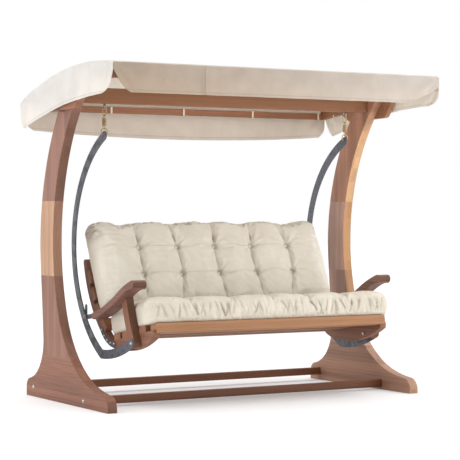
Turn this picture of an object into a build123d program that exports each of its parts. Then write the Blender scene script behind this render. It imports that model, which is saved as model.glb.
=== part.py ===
from build123d import *
import math
import os

# Free-standing garden swing seat with a canopy. Millimetres, +Z up, the front faces -Y.
# The origin is on the floor, midway between the posts and straight below the eye bolts.

# Main frame
post_thickness = 65.0
foot_toe_y = -527.0
foot_heel_y = 697.0
foot_joint_z = 285.0
lower_joint_z = 800.0
upper_joint_z = 1280.0
toe_top_z = 99.0
toe_round = 72.0
heel_top_z = 118.0
heel_round = 50.0
post_instep = (-289.0, 127.0)
post_shin = (194.0, 567.0)
post_front_bow = (268.0, 1120.0)
post_top_front = 155.0
post_ankle = (424.0, 400.0)
post_calf = (463.0, 850.0)
post_back_bow = (405.0, 1417.0)
post_top_back = 62.0
board_edge_round = 4.0
post_edge_ease = 3.0

# Beam and floor stretchers
beam_drop = 229.0
beam_height = 98.0
beam_width = 60.0
stretcher_height = 50.0
stretcher_width = 45.0
front_stretcher_y = -182.0
front_stretcher_z = 42.0
rear_stretcher_y = 583.0
rear_stretcher_z = 63.0
stretcher_bolt_d = 10.0
stretcher_bolt_reach = 60.0
stretcher_bolt_head_d = 26.0
stretcher_bolt_head_h = 7.0
barrel_nut_d = 18.0
barrel_nut_length = 30.0

# Canopy
roof_arch_radius = 2924.0
roof_arch_y = -354.0
roof_crown_z = 2124.0
roof_front_y = -697.0
roof_back_y = 690.0
canopy_half_width = 1195.0
canopy_overhang = 46.0
cloth = 3.0
flap_drop = 206.0
flap_corner_round = 70.0
flap_sewn = 48.0
flap_front_inset = 85.0
flap_back_inset = 130.0
side_flap_front_inset = 130.0
side_flap_back_inset = 50.0
side_flap_back_gap = 24.0
back_flap_lean = 62.0
rafter_thickness = 35.0
rafter_front_depth = 96.0
rafter_back_depth = 62.0
rafter_belly_front_y = -140.0
rafter_belly_front_drop = 268.0
rafter_belly_back_y = 285.0
rafter_belly_back_drop = 278.0
rafter_belly_run = 118.0
rafter_front_rise = 4.0
rafter_back_rise = 28.0
rafter_bend = 55.0
rafter_bolt_d = 10.0
rafter_bolt_head_d = 22.0
rafter_bolt_head_h = 6.0
rafter_bolt_reach_share = 0.41
rafter_bolt_gap = 95.0
canopy_rail_width = 28.0
canopy_front_rail_height = 98.0
canopy_back_rail_height = 41.0
canopy_back_rail_drop = 21.0
canopy_back_rail_width = 30.0
canopy_front_inset = 10.0
canopy_back_inset = 26.0

# Hangers
eye_wire_r = 4.0
eye_inner_r = 10.0
eye_shank_d = 10.0
eye_nut_across = 17.0
eye_nut_height = 10.0
eye_nut_flange_d = 30.0
eye_nut_flange_h = 2.5
eye_tail = 6.0
link_wire_r = 3.5
link_width = 34.0
link_height = 50.0
spring_wire_d = 4.0
spring_mean_r = 12.0
spring_coils = 11
arcs_per_coil = 4
spring_coil_gap = 0.7
spring_hook_r = 8.0
spring_hook_rise = 13.0
ring_wire_r = 3.5
ring_mean_r = 21.0

# Seat frame
seat_tilt = 10.5
seat_origin_y = -12.0
rail_top_z = 393.0
rail_thickness = 45.0
rail_outer_x = 860.0
rail_front_y = -566.0
rail_front_depth = 44.0
rail_belly_y = -302.0
rail_belly_z = 354.0
rail_corner_y = 63.0
back_arch_rear_y = 443.0
back_arch_low_z = 240.0
back_arch_radius = 811.0
upright_depth = 45.0
upright_top_z = 900.0
corner_inner_round = 110.0
corner_outer_round = 240.0
side_end_round = 14.0
upright_top_round = 21.0
side_joint_turn = 14.0
slat_width = 88.0
slat_thickness = 40.0
first_slat_u = 64.0
seat_slat_pitch = 118.0
back_slat_pitch = 125.0
seat_slat_count = 4
back_slat_thickness = 34.0
back_slat_count = 4
back_slat_start = 150.0
front_rail_width = 88.0
front_rail_drop = 20.0
front_rail_lip = 14.0
front_rail_end_gap = 18.0
slat_edge_round = 5.0

# Armrests
armrest_width = 98.0
armrest_depth = 44.0
armrest_rear_y = 83.0
armrest_rear_z = 549.0
armrest_rear_rise = 14.2
armrest_bend_y = -270.0
armrest_bend_z = 692.0
armrest_end_y = -454.0
armrest_end_z = 772.0
armrest_nose_r = 28.0
armrest_neck_share = 0.4
armrest_edge_round = 7.0
support_thickness = 50.0
support_width = 68.0
support_top_y = -258.0
support_top_z = 700.0
support_bow_y = -306.0
support_bow_z = 550.0
arm_width = 58.0
arm_thickness = 8.0
arm_hole_d = 14.0
arm_bow_y = 456.0
arm_bow_z = 1020.0
arm_heel_y = 40.0
arm_heel_z = 308.0
arm_belly_y = -192.0
arm_belly_z = 336.0
arm_front_y = -377.0
arm_front_z = 402.0
bracket_thickness = 6.0
bracket_y = 285.0
bracket_z = 530.0
bracket_width = 26.0
bracket_height = 165.0
bracket_lug_share = 0.08
bracket_lug_height = 30.0
strap_width = 32.0
strap_thickness = 5.0
strap_bolt_count = 5
strap_bolt_d = 8.0
strap_bolt_head_r = 8.5
strap_bolt_head_h = 6.0
strap_low_y = -34.0
strap_low_z = 375.0
strap_mid_y = 70.0
strap_high_y = 146.0
strap_bolt_reach = 30.0
arm_bolt_d = 10.0
arm_bolt_head_r = 11.0
arm_bolt_head_h = 7.0
lug_screw_d = 8.0
lug_screw_head_r = 8.5
lug_screw_head_h = 5.0
lug_screw_reach = 80.0
arm_nut_across = 17.0
arm_nut_height = 9.0

# Cushions
cushion_columns = 6
seat_channel_draw = 3.0
seat_channel_dip = 8.0
back_channel_draw = 4.0
back_channel_dip = 20.0
cushion_end_draw = 14.0
cushion_end_dip = 16.0
cushion_shoulder = 30.0
cushion_shoulder_draw = 2.0
cushion_shoulder_dip = 4.0
seat_cushion_back_reach = 10.0
seat_cushion_front_u = 582.0
seat_cushion_edge = 146.0
seat_cushion_crown = 168.0
seat_cushion_bulge = 22.0
back_cushion_recline = 25.0
back_cushion_high_z = 882.0
back_cushion_low_turn = 6.0
back_cushion_low_v = 40.0
back_cushion_top_v = 532.0
back_cushion_edge = 148.0
back_cushion_crown = 196.0
back_cushion_bulge = 26.0
tuft_rows = (135.0, 325.0)
tuft_radius = 30.0
tuft_depth = 12.0

# Clearances
bolt_play = 0.25
notch_play = 0.5
thread_play = 0.2
slot_play = 0.5
parallel_limit = 1e-9
hanger_play = 0.3
cushion_gap = 1.5
cushion_end_gap = 8.0

# Places worked out from the sizes above
post_outer_x = canopy_half_width - canopy_overhang
beam_bottom_z = roof_crown_z - beam_drop
rafter_belly_front_z = roof_crown_z - rafter_belly_front_drop
rafter_belly_back_z = roof_crown_z - rafter_belly_back_drop
hanger_x = rail_outer_x + support_thickness + arm_thickness / 2
back_arch_y = back_arch_rear_y - back_arch_radius
back_arch_z = back_arch_low_z + back_arch_radius
cushion_half_width = rail_outer_x - cushion_end_gap
post_inner_x = post_outer_x - post_thickness
rafter_bolt_beam_reach = rafter_bolt_reach_share * (post_inner_x - hanger_x)
post_top_z = beam_bottom_z + beam_height
beam_y = 0.0
roof_arch_z = roof_crown_z - roof_arch_radius
rafter_top_radius = roof_arch_radius - cloth
rafter_outer_x = post_outer_x + rafter_thickness
rafter_front_y = roof_front_y + cloth + canopy_front_inset
rafter_back_y = roof_back_y - cloth - canopy_back_inset
eye_mean_r = eye_inner_r + eye_wire_r
eye_z = beam_bottom_z - eye_mean_r - eye_wire_r
link_top_z = eye_z - eye_inner_r + link_wire_r + hanger_play
link_bottom_z = link_top_z - link_height
spring_pitch = spring_wire_d + spring_coil_gap
spring_length = spring_coils * spring_pitch
hook_reach = link_wire_r + hanger_play + spring_wire_d / 2
spring_hook_top_z = link_bottom_z + hook_reach
spring_top_z = spring_hook_top_z - spring_hook_r - spring_hook_rise
spring_bottom_z = spring_top_z - spring_length
spring_hook_bottom_z = spring_bottom_z - spring_hook_rise - spring_hook_r
ring_top_z = spring_hook_bottom_z + ring_wire_r + hanger_play + spring_wire_d / 2
ring_bottom_z = ring_top_z - 2 * ring_mean_r
ring_inner_r = ring_mean_r - ring_wire_r
ring_rise = ring_inner_r - math.sqrt(ring_inner_r**2 - (arm_thickness / 2) ** 2)
arm_hole_z = ring_bottom_z + ring_wire_r + ring_rise + hanger_play - arm_hole_d / 2
arm_inner_x = hanger_x - arm_thickness / 2
arm_outer_x = hanger_x + arm_thickness / 2
bracket_inner_x = arm_inner_x - bracket_thickness
rail_inner_x = rail_outer_x - rail_thickness
slat_length = 2 * rail_outer_x
tilt = math.radians(seat_tilt)
recline = math.radians(back_cushion_recline)
back_rest_radius = back_arch_radius - upright_depth - back_slat_thickness - cushion_gap
back_low_touch = 2 * recline - math.asin((back_arch_z - back_cushion_high_z) / back_rest_radius)


def roof_z(y, radius=roof_arch_radius):
    """Height of the canopy's arch of the given radius at a place along Y."""
    return roof_arch_z + math.sqrt(radius**2 - (y - roof_arch_y) ** 2)


def seat_point(along, above):
    """A point (y, z) of the tilted seat plane: along runs to the front, above is square to it."""
    y = seat_origin_y - along * math.cos(tilt) + above * math.sin(tilt)
    z = rail_top_z + along * math.sin(tilt) + above * math.cos(tilt)
    return (y, z)


def plate(outline, x_from, thickness):
    """Extrudes an outline drawn in (y, z) along +X."""
    return Plane.YZ.offset(x_from) * extrude(make_face(outline), thickness)


def board(x_from, x_to, y_mid, y_size, z_from, z_size, radius=board_edge_round):
    """A straight board along X with rounded long edges."""
    solid = Pos((x_from + x_to) / 2, y_mid, z_from + z_size / 2) * Box(x_to - x_from, y_size, z_size)
    return fillet(solid.edges().filter_by(Axis.X), radius)


def rod_x(x_from, x_to, y, z, radius):
    """A round bar along X."""
    return Pos(x_from, y, z) * Rot(0, 90, 0) * Cylinder(
        radius, x_to - x_from, align=(Align.CENTER, Align.CENTER, Align.MIN)
    )


def dome_x(x_seat, y, z, radius, height):
    """A domed bolt head that stands out along +X from its seat."""
    ball = (radius**2 + height**2) / (2 * height)
    half_turn = math.asin(radius / ball) / 2
    middle = (height - ball + ball * math.cos(half_turn), ball * math.sin(half_turn))
    rim = (0, radius)
    crown = (height, 0)
    profile = make_face([Line((0, 0), rim), ThreePointArc(rim, middle, crown), Line(crown, (0, 0))])
    return Pos(x_seat, y, z) * revolve(profile, Axis.X)


def hex_x(x_from, x_to, y, z, across, bore):
    """A hexagon nut along X with a plain bore."""
    blank = Plane.YZ.offset(x_from) * Pos(y, z) * extrude(
        RegularPolygon(across / 2, 6, major_radius=False), x_to - x_from
    )
    return blank - rod_x(x_from, x_to, y, z, bore / 2)


def band(path, width):
    """A flat bar's outline: the line widened evenly to both sides, with round ends."""
    return offset(path, amount=width / 2, side=Side.BOTH, closed=True).edges()


def mirrored(solid):
    """The same piece on the left-hand side."""
    return mirror(solid, about=Plane.YZ)


def save(shape, node):
    """Writes one node."""
    export_step(shape, f"parts/{node}.step")


def save_pair(right_piece, name):
    """Writes a right-hand piece and its mirror image."""
    save(right_piece, f"right_{name}")
    save(mirrored(right_piece), f"left_{name}")


def save_group(right_pieces, node):
    """Writes right-hand fasteners and their mirror images as one node of separate solids."""
    solids = []
    for piece in right_pieces:
        solids.extend(piece.solids())
        solids.extend(mirrored(piece).solids())
    save(Compound(solids), node)


def plumb_arc(edge, y_end):
    """An arc that carries on from an edge and turns straight down at y_end."""
    start = edge @ 1
    heading = edge % 1
    fall = math.atan2(-heading.Y, abs(heading.X))
    drop = abs(y_end - start.X) * math.tan((fall + math.pi / 2) / 2)
    return TangentArc(start, (y_end, start.Y - drop), tangent=heading)


def post_outline():
    """Foot and post as one outline of tangent arcs: bowed post, flared instep, round toe and heel."""
    front_top = (beam_y - post_top_front, post_top_z)
    back_top = (beam_y + post_top_back, post_top_z)
    front = [ThreePointArc(front_top, post_front_bow, post_shin)]
    for point in (post_instep, (foot_toe_y + toe_round, toe_top_z)):
        front.append(TangentArc(front[-1] @ 1, point, tangent=front[-1] % 1))
    front.append(plumb_arc(front[-1], foot_toe_y))
    back = [ThreePointArc(back_top, post_back_bow, post_calf)]
    for point in (post_ankle, (foot_heel_y - heel_round, heel_top_z)):
        back.append(TangentArc(back[-1] @ 1, point, tangent=back[-1] % 1))
    back.append(plumb_arc(back[-1], foot_heel_y))
    sole = Polyline(front[-1] @ 1, (foot_toe_y, 0), (foot_heel_y, 0), back[-1] @ 1)
    return [*front, *sole.edges(), *back, Line(back_top, front_top)]


def stretcher_holes(x_far):
    """Holes for the stretcher bolts, from the outer face of the post inwards."""
    holes = []
    for y, z in ((front_stretcher_y, front_stretcher_z), (rear_stretcher_y, rear_stretcher_z)):
        holes.append(rod_x(x_far, post_outer_x, y, z, stretcher_bolt_d / 2 + bolt_play))
    return holes


def rafter_bolt_places():
    """Two bolts per rafter: one into the beam's end, one through the post behind it."""
    middle_z = beam_bottom_z + beam_height / 2
    return ((beam_y, middle_z), (beam_y + rafter_bolt_gap, middle_z - rafter_bolt_gap))


def sawn(solid, z):
    """The part of a solid below a level saw cut, and the part above it."""
    level = Plane.XY.offset(z)
    return split(solid, bisect_by=level, keep=Keep.BOTTOM), split(solid, bisect_by=level, keep=Keep.TOP)


def ease_board(solid):
    """Takes the sharp edge off a post board along both of its flat sides."""
    sides = solid.faces().sort_by(Axis.X)
    edges = sides[0].edges() + sides[-1].edges()
    curved = edges.filter_by(GeomType.LINE, reverse=True)
    upright = edges.filter_by(Axis.Z)
    return chamfer(curved + upright, post_edge_ease)


def build_posts():
    """Feet and posts, sawn from one outline at the glue joints."""
    blank = plate(post_outline(), post_inner_x, post_thickness)
    foot, rest = sawn(blank, foot_joint_z)
    lower, rest = sawn(rest, lower_joint_z)
    middle, upper = sawn(rest, upper_joint_z)
    foot = ease_board(foot)
    upper = ease_board(upper)
    for hole in stretcher_holes(post_inner_x):
        foot -= hole
    for y, z in rafter_bolt_places():
        upper -= rod_x(post_inner_x, post_outer_x, y, z, rafter_bolt_d / 2 + bolt_play)
    save_pair(foot, "foot")
    save_pair(ease_board(lower), "post_lower")
    save_pair(ease_board(middle), "post_middle")
    save_pair(upper, "post_upper")


def build_stretchers():
    """Floor stretchers with their domed bolts and barrel nuts."""
    bolts = []
    nuts = []
    nut_x = post_inner_x - stretcher_bolt_reach + barrel_nut_d
    places = (
        ("front_stretcher", front_stretcher_y, front_stretcher_z),
        ("rear_stretcher", rear_stretcher_y, rear_stretcher_z),
    )
    for name, y, z in places:
        low_z = z - stretcher_height / 2
        rail = board(-post_inner_x, post_inner_x, y, stretcher_width, low_z, stretcher_height)
        bore_end_x = post_inner_x - stretcher_bolt_reach - bolt_play
        bore = rod_x(bore_end_x, post_inner_x, y, z, stretcher_bolt_d / 2 + bolt_play)
        pocket = Pos(nut_x, y, z + stretcher_height / 2) * Cylinder(
            barrel_nut_d / 2 + bolt_play,
            stretcher_height / 2 + barrel_nut_length / 2,
            align=(Align.CENTER, Align.CENTER, Align.MAX),
        )
        for cut in (bore, pocket):
            rail = rail - cut - mirrored(cut)
        save(rail, name)
        shank = rod_x(post_inner_x - stretcher_bolt_reach, post_outer_x, y, z, stretcher_bolt_d / 2)
        head = dome_x(post_outer_x, y, z, stretcher_bolt_head_d / 2, stretcher_bolt_head_h)
        bolts.append(shank + head)
        barrel = Pos(nut_x, y, z) * Cylinder(barrel_nut_d / 2, barrel_nut_length)
        thread = rod_x(
            nut_x - barrel_nut_d, nut_x + barrel_nut_d, y, z, stretcher_bolt_d / 2 + thread_play
        )
        nuts.append(barrel - thread)
    save_group(bolts, "stretcher_bolts")
    save_group(nuts, "stretcher_barrel_nuts")


def rafter_outline():
    """Curved board: arched top under the roof, a deep belly at the post, slim ends."""
    top_front = (rafter_front_y, roof_z(rafter_front_y, rafter_top_radius))
    top_back = (rafter_back_y, roof_z(rafter_back_y, rafter_top_radius))
    crown_y = (rafter_front_y + rafter_back_y) / 2
    crown = (crown_y, roof_z(crown_y, rafter_top_radius))
    front_z = top_front[1] - rafter_front_depth
    back_z = top_back[1] - rafter_back_depth
    corners = [
        (rafter_front_y, front_z),
        (rafter_belly_front_y - rafter_belly_run, front_z + rafter_front_rise),
        (rafter_belly_front_y, rafter_belly_front_z),
        (rafter_belly_back_y, rafter_belly_back_z),
        (rafter_belly_back_y + rafter_belly_run, back_z + rafter_back_rise),
        (rafter_back_y, back_z),
    ]
    return [
        ThreePointArc(top_front, crown, top_back),
        Line(top_back, corners[-1]),
        FilletPolyline(*corners, radius=rafter_bend),
        Line(corners[0], top_front),
    ]


def build_canopy_frame():
    """Rafters, their bolts, the hanging beam and the two canopy rails."""
    rafter = plate(rafter_outline(), post_outer_x, rafter_thickness)
    bolts = []
    beam = board(-post_inner_x, post_inner_x, beam_y, beam_width, beam_bottom_z, beam_height)
    head_seat_x = rafter_outer_x - rafter_bolt_head_h
    beam_place, post_place = rafter_bolt_places()
    tails = ((beam_place, post_inner_x - rafter_bolt_beam_reach), (post_place, post_inner_x))
    for (y, z), tail_x in tails:
        rafter -= rod_x(post_outer_x, rafter_outer_x, y, z, rafter_bolt_d / 2 + bolt_play)
        rafter -= rod_x(head_seat_x, rafter_outer_x, y, z, rafter_bolt_head_d / 2 + bolt_play)
        shank = rod_x(tail_x, head_seat_x, y, z, rafter_bolt_d / 2)
        bolts.append(shank + dome_x(head_seat_x, y, z, rafter_bolt_head_d / 2, rafter_bolt_head_h))
    beam_bore = rod_x(
        post_inner_x - rafter_bolt_beam_reach - bolt_play,
        post_inner_x,
        *beam_place,
        rafter_bolt_d / 2 + bolt_play,
    )
    eye_bore = Pos(hanger_x, beam_y, beam_bottom_z) * Cylinder(
        eye_shank_d / 2 + bolt_play, beam_height, align=(Align.CENTER, Align.CENTER, Align.MIN)
    )
    for cut in (beam_bore, eye_bore):
        beam = beam - cut - mirrored(cut)
    save(beam, "hanging_beam")
    save_pair(rafter, "rafter")
    save_group(bolts, "rafter_bolts")
    front_y = rafter_front_y + canopy_rail_width
    top = [(y, roof_z(y, rafter_top_radius)) for y in (rafter_front_y, front_y)]
    low_z = min(top[0][1], top[1][1]) - canopy_front_rail_height
    outline = Polyline(*top, (front_y, low_z), (rafter_front_y, low_z), close=True)
    save(plate(outline.edges(), -post_outer_x, 2 * post_outer_x), "canopy_front_rail")
    back_y = rafter_back_y - canopy_back_rail_width / 2
    back_z = roof_z(rafter_back_y, rafter_top_radius) - canopy_back_rail_drop - canopy_back_rail_height
    back_rail = board(
        -post_outer_x, post_outer_x, back_y, canopy_back_rail_width, back_z, canopy_back_rail_height
    )
    save(back_rail, "canopy_back_rail")


def flap(width_half, depth, inset):
    """A hanging flap in its own plane: straight top edge at 0, ends that slant in below the sewn part."""
    right_end = [(width_half, 0), (width_half, -flap_sewn), (width_half - inset, -depth)]
    left_end = [(-x, z) for x, z in reversed(right_end)]
    sheet = make_face(Polyline(*right_end, *left_end, close=True).edges())
    low = sheet.vertices().sort_by(Axis.Y)[:2]
    return fillet(low, flap_corner_round)


def build_canopy():
    """Canvas cover: arched roof and four flaps, sewn at the top of the corners and open below."""
    outer = roof_arch_radius
    inner = roof_arch_radius - cloth
    mid_y = (roof_front_y + roof_back_y) / 2
    ends = (roof_front_y, roof_back_y)
    arcs = []
    for radius in (outer, inner):
        points = [(y, roof_z(y, radius)) for y in (ends[0], mid_y, ends[1])]
        arcs.append(ThreePointArc(*points))
    sides = [Line(arcs[0] @ 0, arcs[1] @ 0), Line(arcs[0] @ 1, arcs[1] @ 1)]
    save(plate([*arcs, *sides], -canopy_half_width, 2 * canopy_half_width), "canopy_roof")

    flap_half = canopy_half_width - cloth
    front_top = roof_z(roof_front_y, inner)
    front_plane = Plane((0, roof_front_y + cloth, front_top), x_dir=(1, 0, 0), z_dir=(0, -1, 0))
    front = flap(flap_half, flap_drop, flap_front_inset)
    save(front_plane * extrude(front, cloth), "canopy_front_flap")

    back_top = roof_z(roof_back_y, inner)
    lean = math.atan2(back_flap_lean, flap_drop)
    back_normal = (0, math.cos(lean), -math.sin(lean))
    back_edge_z = back_top - cloth * math.sin(lean)
    back_plane = Plane((0, roof_back_y - cloth, back_edge_z), x_dir=(-1, 0, 0), z_dir=back_normal)
    back = flap(flap_half, flap_drop, flap_back_inset)
    save(back_plane * extrude(back, cloth), "canopy_back_flap")

    side_back_y = roof_back_y - cloth - side_flap_back_gap
    hem_radius = inner - flap_drop
    top = [(y, roof_z(y, inner)) for y in (roof_front_y, mid_y, side_back_y)]
    sewn = [(y, z - flap_sewn) for y, z in (top[0], top[2])]
    hem_ends = (roof_front_y + side_flap_front_inset, side_back_y - side_flap_back_inset)
    hem = [(y, roof_z(y, hem_radius)) for y in (hem_ends[0], mid_y, hem_ends[1])]
    outline = [
        ThreePointArc(*top),
        Line(top[2], sewn[1]),
        Line(sewn[1], hem[2]),
        ThreePointArc(*hem),
        Line(hem[0], sewn[0]),
        Line(sewn[0], top[0]),
    ]
    sheet = make_face(outline)
    low = [sheet.vertices().sort_by_distance(Vertex(*corner, 0))[0] for corner in (hem[0], hem[2])]
    side = Plane.YZ.offset(canopy_half_width - cloth) * extrude(fillet(low, flap_corner_round), cloth)
    save(side, "canopy_right_flap")
    save(mirrored(side), "canopy_left_flap")


def biarc(start, heading, end, end_heading):
    """Two tangent arcs from one point and heading to another."""
    chord = end - start
    spread = heading.dot(end_heading) - 1
    lean = chord.dot(heading + end_heading)
    if abs(spread) < parallel_limit:
        reach = chord.dot(chord) / (2 * lean)
    else:
        reach = (lean - math.sqrt(lean**2 - 2 * spread * chord.dot(chord))) / (2 * spread)
    joint = (start + heading * reach + end - end_heading * reach) / 2
    first = Edge.make_tangent_arc(start, heading, joint)
    second = Edge.make_tangent_arc(joint, first % 1, end)
    return [first, second]


def helix_point(turn):
    """Point and heading of the coil, counted in turns from its top, going down."""
    angle = 2 * math.pi * turn
    point = Vector(
        spring_mean_r * math.cos(angle), spring_mean_r * math.sin(angle), spring_top_z - spring_pitch * turn
    )
    rise = -spring_pitch / (2 * math.pi)
    heading = Vector(-spring_mean_r * math.sin(angle), spring_mean_r * math.cos(angle), rise)
    return point, heading.normalized()


def hook_point(turn, upper):
    """Point and heading of an end hook, a ring in the plane across X; turn 0 is where the coil joins it."""
    side = 1 if upper else -1
    centre_z = spring_hook_top_z - spring_hook_r if upper else spring_hook_bottom_z + spring_hook_r
    angle = 2 * math.pi * turn
    reach_y = -side * spring_hook_r * math.cos(angle)
    reach_z = side * spring_hook_r * math.sin(angle)
    point = Vector(0, reach_y, centre_z + reach_z)
    heading = Vector(0, side * math.sin(angle), side * math.cos(angle))
    return point, heading


def spring_path():
    """Wire path of one spring: upper hook, close coil, lower hook, with straight ends."""
    edges = []
    hook_turns = (0.75, 0.5, 0.25, 0.0)
    tip, heading = hook_point(hook_turns[0], True)
    edges.append(Edge.make_line(tip + heading * spring_wire_d, tip))
    for turn, next_turn in zip(hook_turns, hook_turns[1:]):
        start, start_heading = hook_point(turn, True)
        end, end_heading = hook_point(next_turn, True)
        edges.extend(biarc(start, start_heading * -1, end, end_heading * -1))
    coil_start, coil_heading = helix_point(0)
    root, root_heading = hook_point(0, True)
    edges.extend(biarc(root, root_heading * -1, coil_start, coil_heading))
    for piece in range(arcs_per_coil * spring_coils):
        start, start_heading = helix_point(piece / arcs_per_coil)
        end, end_heading = helix_point((piece + 1) / arcs_per_coil)
        edges.extend(biarc(start, start_heading, end, end_heading))
    coil_end, coil_end_heading = helix_point(spring_coils)
    root, root_heading = hook_point(0, False)
    edges.extend(biarc(coil_end, coil_end_heading, root, root_heading))
    turns = tuple(reversed(hook_turns))
    for turn, next_turn in zip(turns, turns[1:]):
        start, start_heading = hook_point(turn, False)
        end, end_heading = hook_point(next_turn, False)
        edges.extend(biarc(start, start_heading, end, end_heading))
    tip, heading = hook_point(hook_turns[0], False)
    edges.append(Edge.make_line(tip, tip + heading * spring_wire_d))
    return edges


def least_gap(edges):
    """Least gap of the wire to itself, on points about half a wire apart."""
    points = []
    places = []
    run = 0.0
    for edge in edges:
        steps = max(2, round(edge.length / (spring_wire_d / 2)))
        for step in range(steps):
            points.append(edge @ (step / steps))
            places.append(run + edge.length * step / steps)
        run += edge.length
    gap = run
    for index, point in enumerate(points):
        for other, far in zip(points[index + 1 :], places[index + 1 :]):
            if far - places[index] > math.pi * spring_wire_d:
                gap = min(gap, (point - other).length - spring_wire_d)
    return gap


def build_spring():
    """Close-coiled extension spring with a hook at each end."""
    edges = spring_path()
    print("spring: least gap to itself", round(least_gap(edges), 2), "mm")
    start = edges[0] @ 0
    section = Plane(start, z_dir=edges[0] % 0) * Circle(spring_wire_d / 2)
    return sweep(section, path=Wire(edges))


def build_hangers():
    """Eye bolts, oval links, springs and lower rings."""
    eye = Pos(hanger_x, beam_y, eye_z) * Rot(0, 90, 0) * Torus(eye_mean_r, eye_wire_r)
    shank_top_z = beam_bottom_z + beam_height + eye_nut_flange_h + eye_nut_height + eye_tail
    shank_z = eye_z + eye_mean_r
    shank = Pos(hanger_x, beam_y, shank_z) * Cylinder(
        eye_shank_d / 2, shank_top_z - shank_z, align=(Align.CENTER, Align.CENTER, Align.MIN)
    )
    save_group([eye + shank], "eye_bolts")
    nut_z = beam_bottom_z + beam_height
    flange = Pos(hanger_x, beam_y, nut_z) * Cylinder(
        eye_nut_flange_d / 2, eye_nut_flange_h, align=(Align.CENTER, Align.CENTER, Align.MIN)
    )
    nut = Pos(hanger_x, beam_y, nut_z + eye_nut_flange_h) * extrude(
        RegularPolygon(eye_nut_across / 2, 6, major_radius=False), eye_nut_height
    )
    thread = Pos(hanger_x, beam_y, nut_z) * Cylinder(
        eye_shank_d / 2 + thread_play,
        eye_nut_flange_h + eye_nut_height,
        align=(Align.CENTER, Align.CENTER, Align.MIN),
    )
    save_group([flange + nut - thread], "eye_bolt_nuts")

    bend = link_width / 2 - link_wire_r
    top_z = link_top_z - bend
    bottom_z = link_bottom_z + bend
    section = Pos(hanger_x + bend, beam_y, top_z) * Circle(link_wire_r)
    loop = Wire(
        [
            Edge.make_line((hanger_x + bend, beam_y, top_z), (hanger_x + bend, beam_y, bottom_z)),
            Edge.make_three_point_arc(
                (hanger_x + bend, beam_y, bottom_z),
                (hanger_x, beam_y, link_bottom_z),
                (hanger_x - bend, beam_y, bottom_z),
            ),
            Edge.make_line((hanger_x - bend, beam_y, bottom_z), (hanger_x - bend, beam_y, top_z)),
            Edge.make_three_point_arc(
                (hanger_x - bend, beam_y, top_z),
                (hanger_x, beam_y, link_top_z),
                (hanger_x + bend, beam_y, top_z),
            ),
        ]
    )
    save_pair(sweep(section, path=loop), "oval_link")
    spring = Pos(hanger_x, beam_y, 0) * build_spring()
    save_pair(spring, "spring")
    ring = Pos(hanger_x, beam_y, ring_top_z - ring_mean_r) * Rot(90, 0, 0) * Torus(ring_mean_r, ring_wire_r)
    save_pair(ring, "lower_ring")


def arch_point(radius, angle):
    """A point (y, z) on the side frame's back arch; angle in radians below level."""
    return (back_arch_y + radius * math.cos(angle), back_arch_z - radius * math.sin(angle))


def arch_angle(radius, z):
    """Angle below level at which the back arch reaches a height."""
    return math.asin((back_arch_z - z) / radius)


def corner_angle(radius):
    """Angle at which the back arch meets the line of the seat rail's top."""
    slope = math.tan(tilt)
    drop = back_arch_z - (rail_top_z - slope * (back_arch_y - seat_origin_y))
    reach = drop * math.cos(tilt)
    return math.asin(reach / radius) + tilt


def corner_u():
    """Place along the seat at which the uprights' inner faces meet the rails' tops."""
    radius = back_arch_radius - upright_depth
    corner_y, _ = arch_point(radius, corner_angle(radius))
    return (seat_origin_y - corner_y) / math.cos(tilt)


def side_outline():
    """Seat rail and back upright of one side as one face."""
    inner_radius = back_arch_radius - upright_depth
    tip_top = (rail_front_y, rail_top_z - (rail_front_y - seat_origin_y) * math.tan(tilt))
    tip_bottom = (rail_front_y, tip_top[1] - rail_front_depth)
    outer_corner_angle = math.acos((rail_corner_y - back_arch_y) / back_arch_radius)
    outer_corner = arch_point(back_arch_radius, outer_corner_angle)
    outer_top_angle = arch_angle(back_arch_radius, upright_top_z)
    outer_top = arch_point(back_arch_radius, outer_top_angle)
    outer_mid = arch_point(back_arch_radius, (outer_corner_angle + outer_top_angle) / 2)
    inner_corner_angle = corner_angle(inner_radius)
    inner_corner = arch_point(inner_radius, inner_corner_angle)
    inner_top_angle = arch_angle(inner_radius, upright_top_z)
    inner_top = arch_point(inner_radius, inner_top_angle)
    inner_mid = arch_point(inner_radius, (inner_corner_angle + inner_top_angle) / 2)
    face = make_face(
        [
            Line(tip_top, tip_bottom),
            ThreePointArc(tip_bottom, (rail_belly_y, rail_belly_z), outer_corner),
            ThreePointArc(outer_corner, outer_mid, outer_top),
            Line(outer_top, inner_top),
            ThreePointArc(inner_top, inner_mid, inner_corner),
            Line(inner_corner, tip_top),
        ]
    )
    rounds = (
        (inner_corner, corner_inner_round),
        (outer_corner, corner_outer_round),
        (tip_top, side_end_round),
        (tip_bottom, side_end_round),
        (outer_top, upright_top_round),
        (inner_top, upright_top_round),
    )
    for place, radius in rounds:
        vertex = face.vertices().sort_by_distance(Vertex(*place, 0))[0]
        face = fillet(vertex, radius)
    return face, outer_corner, inner_corner


def strap_places():
    """Bolt places (y, z) along the corner strap's middle line."""
    middle_radius = back_arch_radius - upright_depth / 2
    high = arch_point(middle_radius, math.acos((strap_high_y - back_arch_y) / middle_radius))
    low = (strap_low_y, strap_low_z)
    mid = arch_point(middle_radius, math.acos((strap_mid_y - back_arch_y) / middle_radius))
    line = ThreePointArc(low, mid, high)
    steps = strap_bolt_count - 1
    return line, [line @ (index / steps) for index in range(strap_bolt_count)]


def seat_block(u_from, u_to, n_from, n_to, x_from, x_to):
    """A block with sharp edges, square to the tilted seat plane."""
    places = ((u_from, n_from), (u_to, n_from), (u_to, n_to), (u_from, n_to))
    outline = Polyline(*[seat_point(u, n) for u, n in places], close=True)
    return plate(outline.edges(), x_from, x_to - x_from)


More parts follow.
